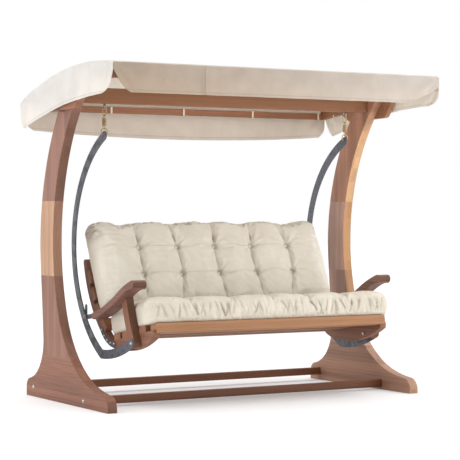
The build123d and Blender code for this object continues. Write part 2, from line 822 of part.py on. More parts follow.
def seat_board(u_from, u_to, n_from, n_to, x_half):
    """A board across the seat with rounded edges, square to the tilted seat plane."""
    solid = seat_block(u_from, u_to, n_from, n_to, -x_half, x_half)
    return fillet(solid.edges().filter_by(Axis.X), slat_edge_round)


def front_rail():
    """The thicker front board, notched at its ends to sit over the side rails."""
    front_u = first_slat_u + seat_slat_count * seat_slat_pitch + front_rail_width / 2
    rear_u = front_u - front_rail_width
    board = seat_board(rear_u, front_u, -front_rail_drop, slat_thickness, rail_outer_x - front_rail_end_gap)
    low_n = -2 * front_rail_drop
    notch = seat_block(rear_u, front_u - front_rail_lip, low_n, 0, rail_inner_x - notch_play, rail_outer_x)
    return board - notch - mirror(notch, about=Plane.YZ)


def back_slat(index):
    """A slat across the uprights, its back edges on the arch."""
    inner_radius = back_arch_radius - upright_depth
    run = back_slat_start + index * back_slat_pitch
    angle = math.degrees(corner_angle(inner_radius) - run / inner_radius)
    seat_radius = math.sqrt(inner_radius**2 - (slat_width / 2) ** 2)
    blank = Box(slat_length, back_slat_thickness, slat_width, align=(Align.CENTER, Align.MAX, Align.CENTER))
    blank = fillet(blank.edges().filter_by(Axis.X), slat_edge_round)
    return Pos(0, back_arch_y, back_arch_z) * Rot(-angle, 0, 0) * Pos(0, seat_radius, 0) * blank


def build_seat_frame():
    """Side frames, corner straps, slats and front rail."""
    face, outer_corner, inner_corner = side_outline()
    whole = Plane.YZ.offset(rail_inner_x) * extrude(face, rail_thickness)
    middle = ((outer_corner[0] + inner_corner[0]) / 2, (outer_corner[1] + inner_corner[1]) / 2)
    turn = math.radians(side_joint_turn)
    saw = Plane((0, *middle), x_dir=(1, 0, 0), z_dir=(0, math.cos(turn), math.sin(turn)))
    rail = split(whole, bisect_by=saw, keep=Keep.BOTTOM)
    upright = split(whole, bisect_by=saw, keep=Keep.TOP)
    line, places = strap_places()
    strap = plate(band(line, strap_width), rail_outer_x, strap_thickness)
    strap_face_x = rail_outer_x + strap_thickness
    bolts = []
    for place in places:
        y, z = place.X, place.Y
        bore_end_x = strap_face_x - strap_bolt_reach - bolt_play
        bore = rod_x(bore_end_x, strap_face_x, y, z, strap_bolt_d / 2 + bolt_play)
        rail -= bore
        upright -= bore
        strap -= bore
        shank = rod_x(strap_face_x - strap_bolt_reach, strap_face_x, y, z, strap_bolt_d / 2)
        bolts.append(shank + dome_x(strap_face_x, y, z, strap_bolt_head_r, strap_bolt_head_h))
    rail -= rod_x(rail_inner_x, rail_outer_x, arm_front_y, arm_front_z, arm_bolt_d / 2 + bolt_play)
    save_pair(rail, "seat_rail")
    save_pair(upright, "back_upright")
    save_pair(strap, "corner_strap")
    save_group(bolts, "corner_bolts")
    for index in range(seat_slat_count):
        rear_u = first_slat_u + index * seat_slat_pitch - slat_width / 2
        slat = seat_board(rear_u, rear_u + slat_width, 0, slat_thickness, rail_outer_x)
        save(slat, f"seat_slat_{index + 1}")
    for index in range(back_slat_count):
        save(back_slat(index), f"back_slat_{index + 1}")
    save(front_rail(), "seat_front_rail")


def armrest_line():
    """Middle line of the armrest from its rear end up to the nose, in two tangent arcs."""
    rise = math.radians(armrest_rear_rise)
    heading = Vector(-math.cos(rise), math.sin(rise))
    bend = Vector(armrest_bend_y, armrest_bend_z)
    lower = Edge.make_tangent_arc(Vector(armrest_rear_y, armrest_rear_z), heading, bend)
    upper = Edge.make_tangent_arc(bend, lower % 1, Vector(armrest_end_y, armrest_end_z))
    return lower, upper


def above_line(edge, share, height):
    """The place at a height square above a share of a line that runs to the front."""
    heading = edge % share
    return edge @ share + Vector(heading.Y, -heading.X) * height


def moved_arc(edge, height, share=1.0):
    """The first share of an arc that runs to the front, moved up by a height."""
    return Edge.make_three_point_arc(*[above_line(edge, part, height) for part in (0, share / 2, share)])


def armrest_face():
    """Armrest seen from the side: a bowed board that ends in a thicker round nose."""
    lower, upper = armrest_line()
    half = armrest_depth / 2
    rear = lower @ 0 - (lower % 0) * half
    nose = above_line(upper, 1, half - armrest_nose_r)
    nose_low = nose - Vector(0, armrest_nose_r)
    neck = above_line(upper, armrest_neck_share, -half)
    neck_heading = (upper % armrest_neck_share) * -1
    return make_face(
        [
            Edge.make_three_point_arc(above_line(lower, 0, -half), rear, above_line(lower, 0, half)),
            moved_arc(lower, half),
            moved_arc(upper, half),
            Edge.make_three_point_arc(above_line(upper, 1, half), nose - Vector(armrest_nose_r, 0), nose_low),
            *biarc(nose_low, Vector(1, 0), neck, neck_heading),
            moved_arc(upper, -half, armrest_neck_share),
            moved_arc(lower, -half),
        ]
    )


def lug_place():
    """Where (y, z) the bracket's lug is held in the armrest's rear end."""
    place = armrest_line()[0] @ bracket_lug_share
    return place.X, place.Y


def build_armrests():
    """Armrests and their front supports."""
    blank = Plane.YZ.offset(rail_outer_x) * extrude(armrest_face(), armrest_width)
    sides = blank.faces().sort_by(Axis.X)
    armrest = fillet(sides[0].edges() + sides[-1].edges(), armrest_edge_round)
    top = (support_top_y, support_top_z)
    line = ThreePointArc(top, (support_bow_y, support_bow_z), (arm_front_y, arm_front_z))
    support = plate(band(line, support_width), rail_outer_x, support_thickness) - armrest
    support = support.solids().sort_by(Axis.Z)[0]
    support -= rod_x(rail_outer_x, arm_inner_x, arm_front_y, arm_front_z, arm_bolt_d / 2 + bolt_play)
    save_pair(support, "armrest_support")
    lug_y, lug_z = lug_place()
    slot_width = bracket_thickness + 2 * slot_play
    slot_middle_x = (bracket_inner_x + arm_inner_x) / 2
    slot_front_y = lug_y - bracket_lug_height / 2 - slot_play
    slot_length = armrest_rear_y + armrest_depth - slot_front_y
    slot_middle_y = slot_front_y + slot_length / 2
    slot = Pos(slot_middle_x, slot_middle_y, lug_z) * Box(slot_width, slot_length, 2 * armrest_depth)
    screw_end_x = rail_outer_x + lug_screw_reach + bolt_play
    lug_hole = rod_x(rail_outer_x, screw_end_x, lug_y, lug_z, lug_screw_d / 2 + bolt_play)
    save_pair(armrest - slot - lug_hole, "armrest")


def arm_line():
    """Middle line of the hanger arm: a bow behind the seat, a heel and a belly below it."""
    top = (beam_y, arm_hole_z)
    heel = (arm_heel_y, arm_heel_z)
    bow = ThreePointArc(top, (arm_bow_y, arm_bow_z), heel)
    belly = ThreePointArc(heel, (arm_belly_y, arm_belly_z), (arm_front_y, arm_front_z))
    return bow, belly


def arm_face():
    """Outline of the flat steel arm: constant width, round ends, rounded heel."""
    bow, belly = arm_line()
    face = make_face(band(bow, arm_width)) + make_face(band(belly, arm_width))
    return face


def build_arms():
    """Hanger arms, brackets, and the bolts that join them to the seat."""
    arm = Plane.YZ.offset(arm_inner_x) * extrude(arm_face(), arm_thickness)
    arm -= rod_x(arm_inner_x, arm_outer_x, beam_y, arm_hole_z, arm_hole_d / 2)
    places = ((arm_front_y, arm_front_z, rail_inner_x), (bracket_y, bracket_z, bracket_inner_x))
    bolts = []
    nuts = []
    for y, z, nut_seat_x in places:
        arm -= rod_x(arm_inner_x, arm_outer_x, y, z, arm_bolt_d / 2 + bolt_play)
        shank = rod_x(nut_seat_x - arm_nut_height, arm_outer_x, y, z, arm_bolt_d / 2)
        bolts.append(shank + dome_x(arm_outer_x, y, z, arm_bolt_head_r, arm_bolt_head_h))
        nut_bore_d = arm_bolt_d + 2 * thread_play
        nuts.append(hex_x(nut_seat_x - arm_nut_height, nut_seat_x, y, z, arm_nut_across, nut_bore_d))
    tab_half = (bracket_height - bracket_width) / 2
    tab = Line((bracket_y, bracket_z - tab_half), (bracket_y, bracket_z + tab_half))
    lug_y, lug_z = lug_place()
    lug = Line((bracket_y, bracket_z), (lug_y, lug_z))
    face = make_face(band(tab, bracket_width)) + make_face(band(lug, bracket_lug_height))
    bracket = Plane.YZ.offset(bracket_inner_x) * extrude(face, bracket_thickness)
    bracket -= rod_x(bracket_inner_x, arm_inner_x, bracket_y, bracket_z, arm_bolt_d / 2 + bolt_play)
    bracket -= rod_x(bracket_inner_x, arm_inner_x, lug_y, lug_z, lug_screw_d / 2 + bolt_play)
    shank = rod_x(rail_outer_x, rail_outer_x + lug_screw_reach, lug_y, lug_z, lug_screw_d / 2)
    head = mirror(dome_x(-rail_outer_x, lug_y, lug_z, lug_screw_head_r, lug_screw_head_h), about=Plane.YZ)
    bolts.append(shank + head)
    save_pair(arm, "hanger_arm")
    save_pair(bracket, "arm_bracket")
    save_group(bolts, "arm_bolts")
    save_group(nuts, "arm_nuts")


def cushion_stations(channel_draw, channel_dip):
    """Places along X with how far the cover is drawn in there and how far its crown dips."""
    column = 2 * cushion_half_width / cushion_columns
    shoulder = (cushion_half_width - cushion_shoulder, cushion_shoulder_draw, cushion_shoulder_dip)
    right = [(cushion_half_width, cushion_end_draw, cushion_end_dip), shoulder]
    left = [(-x, draw, dip) for x, draw, dip in right]
    middle = []
    for index in range(1, 2 * cushion_columns):
        x = -cushion_half_width + index * column / 2
        if index % 2 == 0:
            middle.append((x, channel_draw, channel_dip))
        else:
            middle.append((x, 0.0, 0.0))
    return left + middle + right[::-1]


def seat_cushion_section(draw, dip):
    """Seat cushion's outline at one station: flat base, bulged front and back, crowned top."""
    base = slat_thickness + cushion_gap
    back_u = corner_u() - seat_cushion_back_reach + seat_cushion_bulge + draw
    front_u = seat_cushion_front_u - seat_cushion_bulge - draw
    edge = base + seat_cushion_edge - dip / 2
    crown = base + seat_cushion_crown - dip
    waist = (base + edge) / 2
    low_back = seat_point(back_u, base)
    low_front = seat_point(front_u, base)
    high_front = seat_point(front_u, edge)
    high_back = seat_point(back_u, edge)
    return [
        Line(low_back, low_front),
        ThreePointArc(low_front, seat_point(front_u + seat_cushion_bulge, waist), high_front),
        ThreePointArc(high_front, seat_point((back_u + front_u) / 2, crown), high_back),
        ThreePointArc(high_back, seat_point(back_u - seat_cushion_bulge, waist), low_back),
    ]


def back_point(along, out):
    """A point (y, z) of the reclined back: along runs up, out is square to it towards the sitter."""
    foot = arch_point(back_rest_radius, back_low_touch)
    y = foot[0] + along * math.sin(recline) - out * math.cos(recline)
    z = foot[1] + along * math.cos(recline) + out * math.sin(recline)
    return (y, z)


def back_cushion_section(draw, dip):
    """Back cushion's outline at one station: arched below, straight from the low slat to the top one."""
    low_angle = back_low_touch + math.radians(back_cushion_low_turn)
    low_rear = arch_point(back_rest_radius, low_angle)
    mid_rear = arch_point(back_rest_radius, (low_angle + back_low_touch) / 2)
    low_v = -back_cushion_low_v + draw
    top_v = back_cushion_top_v - back_cushion_bulge - draw
    edge = back_cushion_edge - dip / 2
    crown = back_cushion_crown - dip
    top_rear = back_point(top_v, 0)
    top_front = back_point(top_v, edge)
    low_front = back_point(low_v, edge)
    low_sag = back_point(low_v - back_cushion_bulge, edge / 2)
    return [
        ThreePointArc(low_rear, mid_rear, back_point(0, 0)),
        Line(back_point(0, 0), top_rear),
        ThreePointArc(top_rear, back_point(top_v + back_cushion_bulge, edge / 2), top_front),
        ThreePointArc(top_front, back_point((top_v + low_v) / 2, crown), low_front),
        ThreePointArc(low_front, low_sag, low_rear),
    ]


def build_cushions():
    """Seat and back cushions: crowned between sewn channels, drawn in at the ends, tufted back."""
    seat = []
    for x, draw, dip in cushion_stations(seat_channel_draw, seat_channel_dip):
        seat.append(Plane.YZ.offset(x) * make_face(seat_cushion_section(draw, dip)))
    save(loft(seat), "seat_cushion")
    back = []
    back_stations = cushion_stations(back_channel_draw, back_channel_dip)
    for x, draw, dip in back_stations:
        back.append(Plane.YZ.offset(x) * make_face(back_cushion_section(draw, dip)))
    solid = loft(back)
    tuft_out = back_cushion_crown - back_channel_dip + tuft_radius - tuft_depth
    for x, draw, dip in back_stations:
        if dip != back_channel_dip:
            continue
        for along in tuft_rows:
            solid -= Pos(x, *back_point(along, tuft_out)) * Sphere(tuft_radius)
    save(solid, "back_cushion")


def build_all():
    """Builds every piece in order."""
    build_posts()
    build_stretchers()
    build_canopy_frame()
    build_canopy()
    build_hangers()
    build_seat_frame()
    build_armrests()
    build_arms()
    build_cushions()


os.makedirs("parts", exist_ok=True)
build_all()
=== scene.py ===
"""Dresses the garden swing seat: wood, steel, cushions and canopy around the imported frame."""

import logging
import math
from dataclasses import dataclass, field
from enum import Enum

import bpy
import numpy as np
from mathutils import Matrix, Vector


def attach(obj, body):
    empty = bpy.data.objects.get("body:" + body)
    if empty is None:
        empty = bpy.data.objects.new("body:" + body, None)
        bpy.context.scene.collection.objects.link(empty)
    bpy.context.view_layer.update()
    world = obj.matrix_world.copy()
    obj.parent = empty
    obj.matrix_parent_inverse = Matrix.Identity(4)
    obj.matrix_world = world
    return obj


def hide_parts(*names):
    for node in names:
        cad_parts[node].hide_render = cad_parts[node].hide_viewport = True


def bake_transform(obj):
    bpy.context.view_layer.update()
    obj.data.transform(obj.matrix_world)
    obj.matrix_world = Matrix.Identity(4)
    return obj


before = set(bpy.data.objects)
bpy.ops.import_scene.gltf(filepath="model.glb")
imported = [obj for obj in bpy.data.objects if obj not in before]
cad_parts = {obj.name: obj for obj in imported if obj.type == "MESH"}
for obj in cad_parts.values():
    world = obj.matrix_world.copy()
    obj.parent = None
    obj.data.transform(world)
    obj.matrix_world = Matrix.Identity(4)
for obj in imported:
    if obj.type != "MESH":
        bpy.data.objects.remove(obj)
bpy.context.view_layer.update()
LOG = logging.getLogger("garden_swing")
# Attribute that holds how much painted shade each cushion point gets in its folds
FOLD_SHADE_MARK = "fold"

Colour = tuple[float, float, float, float]
Socket = bpy.types.NodeSocket
Field = np.ndarray


def paint(red: int, green: int, blue: int) -> Colour:
    """Turns a colour as seen on a screen into the linear one that shaders use.

    Args:
        red: Red from 0 to 255.
        green: Green from 0 to 255.
        blue: Blue from 0 to 255.

    Returns:
        Linear red, green and blue with a full alpha.
    """
    linear = []
    for value in (red, green, blue):
        share = value / 255
        linear.append(share / 12.92 if share <= 0.04045 else ((share + 0.055) / 1.055) ** 2.4)
    return (*linear, 1.0)


class NodeBoard:
    """A node tree with short calls to add and join nodes."""

    def __init__(self, tree: bpy.types.NodeTree) -> None:
        """Keeps the tree."""
        self.tree = tree

    def add(self, kind: str, **settings: object) -> bpy.types.Node:
        """Adds a node and sets its options.

        Args:
            kind: Blender's name of the node type.
            **settings: Options of the node by name.

        Returns:
            The new node.
        """
        node = self.tree.nodes.new(kind)
        for name, value in settings.items():
            setattr(node, name, value)
        return node

    def feed(self, socket: Socket, value: object) -> None:
        """Gives a socket a link or a plain value.

        Args:
            socket: The input to feed.
            value: An output socket or a plain value.
        """
        if isinstance(value, bpy.types.NodeSocket):
            self.tree.links.new(value, socket)
        else:
            socket.default_value = value

    def fill(self, node: bpy.types.Node, values: dict[str, object]) -> None:
        """Feeds a node's inputs by name.

        Args:
            node: The node.
            values: Links and plain values by input name.
        """
        for label, value in values.items():
            self.feed(node.inputs[label], value)

    def sum_of(self, operation: str, *values: object) -> Socket:
        """Adds a math node.

        Args:
            operation: The sum to do.
            *values: Links or numbers for its inputs.

        Returns:
            The result.
        """
        node = self.add("ShaderNodeMath", operation=operation)
        for socket, value in zip(node.inputs, values):
            self.feed(socket, value)
        return node.outputs[0]

    def vector_sum(self, operation: str, *values: object) -> bpy.types.Node:
        """Adds a vector math node.

        Args:
            operation: The sum to do.
            *values: Links or vectors for its inputs.

        Returns:
            The node, whose first output is a vector and second a number.
        """
        node = self.add("ShaderNodeVectorMath", operation=operation)
        for socket, value in zip(node.inputs, values):
            self.feed(socket, value)
        return node

    def blend(self, share: object, first: object, second: object) -> Socket:
        """Mixes two colours.

        Args:
            share: How much of the second colour there is.
            first: First colour or link.
            second: Second colour or link.

        Returns:
            The mixed colour.
        """
        node = self.add("ShaderNodeMix", data_type="RGBA")
        self.feed(node.inputs[0], share)
        self.feed(node.inputs[6], first)
        self.feed(node.inputs[7], second)
        return node.outputs[2]

    def faded(self, share: Socket, value: Socket) -> Socket:
        """Fades a number to nothing as a share rises from 0 to 1.

        Args:
            share: How far it has faded.
            value: The number before it fades.

        Returns:
            What is left of it.
        """
        node = self.add("ShaderNodeMix", data_type="FLOAT")
        self.feed(node.inputs[0], share)
        self.feed(node.inputs[2], value)
        return node.outputs[0]

    def mix_shaders(self, share: object, first: bpy.types.Node, second: bpy.types.Node) -> None:
        """Mixes two shaders and joins them to the material's output.

        Args:
            share: How much of the second shader there is.
            first: First shader.
            second: Second shader.
        """
        node = self.add("ShaderNodeMixShader")
        for socket, value in zip(node.inputs, (share, first.outputs[0], second.outputs[0])):
            self.feed(socket, value)
        self.feed(self.tree.nodes["Material Output"].inputs[0], node.outputs[0])

    def seen_directly(self) -> Socket:
        """Tells a camera's, mirror's or glass's view of a surface from the light that it gives off.

        Returns:
            1 where the surface is seen and 0 where it lights others.
        """
        path = self.add("ShaderNodeLightPath")
        seen = self.sum_of("MAXIMUM", path.outputs["Is Camera Ray"], path.outputs["Is Glossy Ray"])
        return self.sum_of("MAXIMUM", seen, path.outputs["Is Transmission Ray"])

    def spread(self, value: Socket, low: float, high: float, to_low: float, to_high: float) -> Socket:
        """Maps a range of values to another, held at its ends.

        Args:
            value: The value to map.
            low: Start of its range.
            high: End of its range.
            to_low: What the start becomes.
            to_high: What the end becomes.

        Returns:
            The mapped value.
        """
        node = self.add("ShaderNodeMapRange")
        for socket, number in zip(node.inputs, (value, low, high, to_low, to_high)):
            self.feed(socket, number)
        return node.outputs[0]

    def speckle(self, place: Socket, stretch: tuple[float, float, float], detail: float) -> Socket:
        """A noise stretched along the axes.

        Args:
            place: Coordinates in metres.
            stretch: Bumps per metre along each axis.
            detail: How many finer layers it has.

        Returns:
            The noise, from 0 to 1.
        """
        stretched = self.vector_sum("MULTIPLY", place, stretch).outputs[0]
        noise = self.add("ShaderNodeTexNoise")
        self.fill(noise, {"Vector": stretched, "Scale": 1.0, "Detail": detail})
        return noise.outputs[0]


class SurfaceGroup:
    """A shader node group with named inputs and outputs."""

    def __init__(self, name: str, inputs: dict[str, str], outputs: dict[str, str]) -> None:
        """Makes the empty group.

        Args:
            name: Name of the group.
            inputs: Socket type by input name.
            outputs: Socket type by output name.
        """
        self.tree = bpy.data.node_groups.new(name, "ShaderNodeTree")
        for side, sockets in (("INPUT", inputs), ("OUTPUT", outputs)):
            for label, kind in sockets.items():
                self.tree.interface.new_socket(label, in_out=side, socket_type=kind)
        self.board = NodeBoard(self.tree)
        self.given = self.board.add("NodeGroupInput").outputs
        self.result = self.board.add("NodeGroupOutput").inputs


VECTOR = "NodeSocketVector"
COLOUR = "NodeSocketColor"
NUMBER = "NodeSocketFloat"


def wood_group() -> SurfaceGroup:
    """Planed wood: long figure, fibres, glued staves, and another tone on the front faces, part wood tone and
    part painted light and shade for how the light falls on them.

    Returns:
        The group, whose grain runs along the third coordinate.
    """
    group = SurfaceGroup(
        "planed_wood",
        {"Place": VECTOR, "Facing": VECTOR, "Pale": COLOUR, "Dark": COLOUR, "Front_Tone_And_Light": COLOUR, "Stave": NUMBER},
        {"Colour": COLOUR, "Roughness": NUMBER, "Height": NUMBER},
    )
    broad_pitch, fibre_pitch, ring_pitch = (11.0, 11.0, 0.9), (190.0, 190.0, 4.0), (30.0, 30.0, 1.6)
    broad_part, ring_part, fibre_part, stave_part = 0.9, 0.16, 0.5, 0.34
    darkest, palest = 0.62, 1.24
    front_shade = 0.66
    turned_from, turned_to = 0.72, 0.86
    dull, polished = 0.62, 0.44
    board, given = group.board, group.given
    broad = board.speckle(given["Place"], broad_pitch, 3.0)
    fibre = board.speckle(given["Place"], fibre_pitch, 4.0)
    bent = board.vector_sum("MULTIPLY", given["Place"], ring_pitch).outputs[0]
    wave = board.add("ShaderNodeTexWave", wave_type="RINGS", rings_direction="Z")
    board.fill(wave, {"Vector": bent, "Scale": 1.0, "Distortion": 5.0, "Detail": 2.0, "Detail Scale": 0.7})
    figure = wave.outputs[1]
    split = board.add("ShaderNodeSeparateXYZ")
    board.feed(split.inputs[0], given["Place"])
    cell = board.add("ShaderNodeCombineXYZ")
    for axis in range(2):
        count = board.sum_of("DIVIDE", split.outputs[axis], given["Stave"])
        board.feed(cell.inputs[axis], board.sum_of("FLOOR", count))
    hashed = board.add("ShaderNodeTexWhiteNoise", noise_dimensions="3D")
    board.feed(hashed.inputs["Vector"], cell.outputs[0])
    tone = board.sum_of("MULTIPLY", broad, broad_part)
    tone = board.sum_of("MULTIPLY_ADD", figure, ring_part, tone)
    tone = board.sum_of("MULTIPLY_ADD", fibre, fibre_part, tone)
    tone = board.sum_of("MULTIPLY_ADD", hashed.outputs[0], stave_part, tone)
    tone = board.spread(tone, darkest, palest, 0.0, 1.0)
    side = board.blend(tone, given["Dark"], given["Pale"])
    deep = board.vector_sum("SCALE", given["Front_Tone_And_Light"]).outputs[0]
    deep.node.inputs["Scale"].default_value = front_shade
    front = board.blend(tone, deep, given["Front_Tone_And_Light"])
    # Painted light and shade: faces turned to the front (-Y) take the front tone, lighter than the sides on
    # some boards and darker on others, on top of wood tone
    facing = board.vector_sum("DOT_PRODUCT", given["Facing"], (0.0, -1.0, 0.0)).outputs[1]
    share = board.spread(facing, turned_from, turned_to, 0.0, 1.0)
    board.feed(group.result["Colour"], board.blend(share, side, front))
    board.feed(group.result["Roughness"], board.spread(fibre, 0.3, 0.7, dull, polished))
    ridges = board.sum_of("MULTIPLY_ADD", figure, 0.25, fibre)
    board.feed(group.result["Height"], ridges)
    return group


def weave_group() -> SurfaceGroup:
    """Plain weave: threads that dive under each other, slubs, and a soft mottle.

    Returns:
        The group, whose threads follow the first two coordinates.
    """
    group = SurfaceGroup(
        "plain_weave",
        {"Place": VECTOR, "Threads": NUMBER, "Cloth": COLOUR, "Worn": COLOUR},
        {"Colour": COLOUR, "Roughness": NUMBER, "Height": NUMBER},
    )
    board, given = group.board, group.given
    split = board.add("ShaderNodeSeparateXYZ")
    board.feed(split.inputs[0], given["Place"])
    turn = board.sum_of("MULTIPLY", given["Threads"], math.pi)
    phases = [board.sum_of("MULTIPLY", split.outputs[axis], turn) for axis in range(2)]
    waves = [board.sum_of("SINE", phase) for phase in phases]
    over = board.spread(board.sum_of("MULTIPLY", *waves), -0.25, 0.25, 0.0, 1.0)
    threads = board.faded(over, board.sum_of("ABSOLUTE", waves[1]))
    slub_pitch, mottle_pitch = (25.0, 420.0, 25.0), (9.0, 9.0, 9.0)
    slub = board.speckle(given["Place"], slub_pitch, 2.0)
    mottle = board.speckle(given["Place"], mottle_pitch, 3.0)
    share = board.sum_of("MULTIPLY_ADD", slub, 0.5, mottle)
    share = board.spread(share, 0.55, 0.95, 0.0, 1.0)
    board.feed(group.result["Colour"], board.blend(share, given["Worn"], given["Cloth"]))
    board.feed(group.result["Roughness"], board.spread(slub, 0.3, 0.7, 0.94, 0.86))
    board.feed(group.result["Height"], board.sum_of("MULTIPLY_ADD", slub, 0.6, threads))
    return group


def coat_group() -> SurfaceGroup:
    """Metal skin: fine pebbling, and clouds of wear where it is polished.

    Returns:
        The group, with its two tones and its roughness outside the clouds as inputs.
    """
    group = SurfaceGroup(
        "metal_skin",
        {"Place": VECTOR, "Fresh": COLOUR, "Worn": COLOUR, "Rough": NUMBER},
        {"Colour": COLOUR, "Roughness": NUMBER, "Height": NUMBER},
    )
    board, given = group.board, group.given
    cloud_pitch, pebble_pitch = (22.0, 22.0, 22.0), (520.0, 520.0, 520.0)
    cloud = board.speckle(given["Place"], cloud_pitch, 4.0)
    pebble = board.speckle(given["Place"], pebble_pitch, 2.0)
    share = board.spread(cloud, 0.42, 0.68, 0.0, 1.0)
    board.feed(group.result["Colour"], board.blend(share, given["Fresh"], given["Worn"]))
    board.feed(group.result["Roughness"], board.faded(share, given["Rough"]))
    board.feed(group.result["Height"], pebble)
    return group


class Groups:
    """The shared surface effects, each built once."""

    wood = wood_group()
    weave = weave_group()
    coat = coat_group()


def bare_material(name: str) -> tuple[bpy.types.Material, NodeBoard, bpy.types.Node]:
    """A new material with only its shader.

    Args:
        name: Name of the material.

    Returns:
        The material, its node board and its Principled shader.
    """
    material = bpy.data.materials.new(name)
    material.use_nodes = True
    board = NodeBoard(material.node_tree)
    return material, board, material.node_tree.nodes["Principled BSDF"]


def dress(
    board: NodeBoard, shader: bpy.types.Node, group: SurfaceGroup, inputs: dict[str, object], relief: float
) -> bpy.types.Node:
    """Places a surface group in a material and joins it to the shader.

    Args:
        board: The material's nodes.
        shader: Its Principled shader.
        group: The surface effect.
        inputs: Links and values for the group by input name.
        relief: Height of the bumps in metres.

    Returns:
        The placed group.
    """
    effect = board.add("ShaderNodeGroup", node_tree=group.tree)
    board.fill(effect, inputs)
    bump = board.add("ShaderNodeBump")
    board.fill(bump, {"Distance": relief, "Height": effect.outputs["Height"]})
    colour, roughness = effect.outputs["Colour"], effect.outputs["Roughness"]
    board.fill(shader, {"Base Color": colour, "Roughness": roughness, "Normal": bump.outputs[0]})
    return effect


class Grain(Enum):
    """Which way the fibres of a board run, as the turn that brings them upright."""

    SIDEWAYS = (0.0, math.pi / 2, 0.0)
    FORE_AND_AFT = (math.pi / 2, 0.0, 0.0)
    UPRIGHT = (0.0, 0.0, 0.0)


@dataclass(frozen=True)
class WoodFinish:
    """Oiled wood of one board."""

    name: str
    side: Colour
    # Tone of the faces turned to the front: wood tone, with painted light on some boards and painted shade on
    # others
    front: Colour
    grain: Grain
    shift: float = 0.0
    stave: float = 0.034
    deepen: float = 0.55
    relief: float = 0.0006

    def material(self) -> bpy.types.Material:
        """Builds the finish.

        Returns:
            The material.
        """
        material, board, shader = bare_material(self.name)
        coordinates = board.add("ShaderNodeTexCoord")
        turned = board.add("ShaderNodeMapping")
        start = tuple(part * self.shift for part in (1.0, 0.61, 0.37))
        place = coordinates.outputs["Object"]
        board.fill(turned, {"Location": start, "Rotation": self.grain.value, "Vector": place})
        dark = (*[self.deepen * value for value in self.side[:3]], 1.0)
        inputs = {
            "Place": turned.outputs[0],
            "Facing": coordinates.outputs["Normal"],
            "Pale": self.side,
            "Dark": dark,
            "Front_Tone_And_Light": self.front,
            "Stave": self.stave,
        }
        dress(board, shader, Groups.wood, inputs, self.relief)
        shader.inputs["Specular IOR Level"].default_value = 0.35
        return material


@dataclass(frozen=True)
class MetalFinish:
    """Painted or plated steel."""

    name: str
    fresh: Colour
    worn: Colour
    rough: float
    metallic: float
    relief: float

    def material(self) -> bpy.types.Material:
        """Builds the finish.

        Returns:
            The material.
        """
        material, board, shader = bare_material(self.name)
        coordinates = board.add("ShaderNodeTexCoord")
        inputs = {
            "Place": coordinates.outputs["Object"],
            "Fresh": self.fresh,
            "Worn": self.worn,
            "Rough": self.rough,
        }
        dress(board, shader, Groups.coat, inputs, self.relief)
        shader.inputs["Metallic"].default_value = self.metallic
        return material


@dataclass(frozen=True)
class ClothFinish:
    """Woven cover cloth with painted shade that darkens it in its folds."""

    name: str
    cloth: Colour
    worn: Colour
    # Colour of the painted shade in the folds
    fold: Colour
    threads: float
    relief: float
    fold_shade_share: float
    sheen: float
    tilt: float = 0.0
    gloss: float = 0.2
    sheen_roughness: float = 0.6

    def material(self) -> bpy.types.Material:
        """Builds the finish.

        Returns:
            The material.
        """
        material, board, shader = bare_material(self.name)
        turned = board.add("ShaderNodeMapping")
        place = board.add("ShaderNodeTexCoord").outputs["Object"]
        board.fill(turned, {"Rotation": (self.tilt, 0.0, 0.0), "Vector": place})
        inputs = {"Place": turned.outputs[0], "Threads": self.threads, "Cloth": self.cloth, "Worn": self.worn}
        effect = dress(board, shader, Groups.weave, inputs, self.relief)
        # Painted shade: the fold mark blends the cloth toward the fold colour
        mark = board.add("ShaderNodeAttribute", attribute_name=FOLD_SHADE_MARK)
        share = board.sum_of("MULTIPLY", mark.outputs["Fac"], self.fold_shade_share)
        looks = {
            "Base Color": board.blend(share, effect.outputs["Colour"], self.fold),
            "Specular IOR Level": self.gloss,
            "Sheen Weight": self.sheen,
            "Sheen Roughness": self.sheen_roughness,
        }
        board.fill(shader, looks)
        return material


def deselect_all() -> None:
    """Leaves object mode's selection empty."""
    if bpy.context.mode != "OBJECT":
        bpy.ops.object.mode_set(mode="OBJECT")
    bpy.ops.object.select_all(action="DESELECT")


def pick(piece: bpy.types.Object) -> None:
    """Makes a piece the only selected and active one."""
    deselect_all()
    piece.select_set(True)
    bpy.context.view_layer.objects.active = piece


def apply_modifier(piece: bpy.types.Object, name: str) -> None:
    """Applies one modifier of a piece."""
    pick(piece)
    bpy.ops.object.modifier_apply(modifier=name)


def settle(piece: bpy.types.Object) -> None:
    """Puts a piece's place, turn and scale into its mesh."""
    pick(piece)
    bpy.ops.object.transform_apply(location=True, rotation=True, scale=True)


def new_piece(name: str, mesh: bpy.types.Mesh) -> bpy.types.Object:
    """Adds a mesh to the scene as a piece.

    Args:
        name: Name of the piece.
        mesh: Its mesh.

    Returns:
        The piece.
    """
    piece = bpy.data.objects.new(name, mesh)
    bpy.context.scene.collection.objects.link(piece)
    return piece


def copy_of_node(node: str, ending: str) -> bpy.types.Object:
    """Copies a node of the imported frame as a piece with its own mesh.

    Args:
        node: Name of the node.
        ending: What the copy's name adds to it.

    Returns:
        The copy.
    """
    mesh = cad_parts[node].data.copy()
    mesh.name = node + ending
    return new_piece(mesh.name, mesh)


def name_active(name: str) -> bpy.types.Object:
    """Names the primitive that was just added.

    Args:
        name: Name of the piece and its mesh.

    Returns:
        The piece.
    """
    piece = bpy.context.object
    piece.name = name
    piece.data.name = name
    return piece


def divide(piece: bpy.types.Object) -> None:
    """Divides each face of a piece once, rounding it."""
    finer = piece.modifiers.new("finer", "SUBSURF")
    finer.levels = 1
    finer.render_levels = 1
    apply_modifier(piece, finer.name)


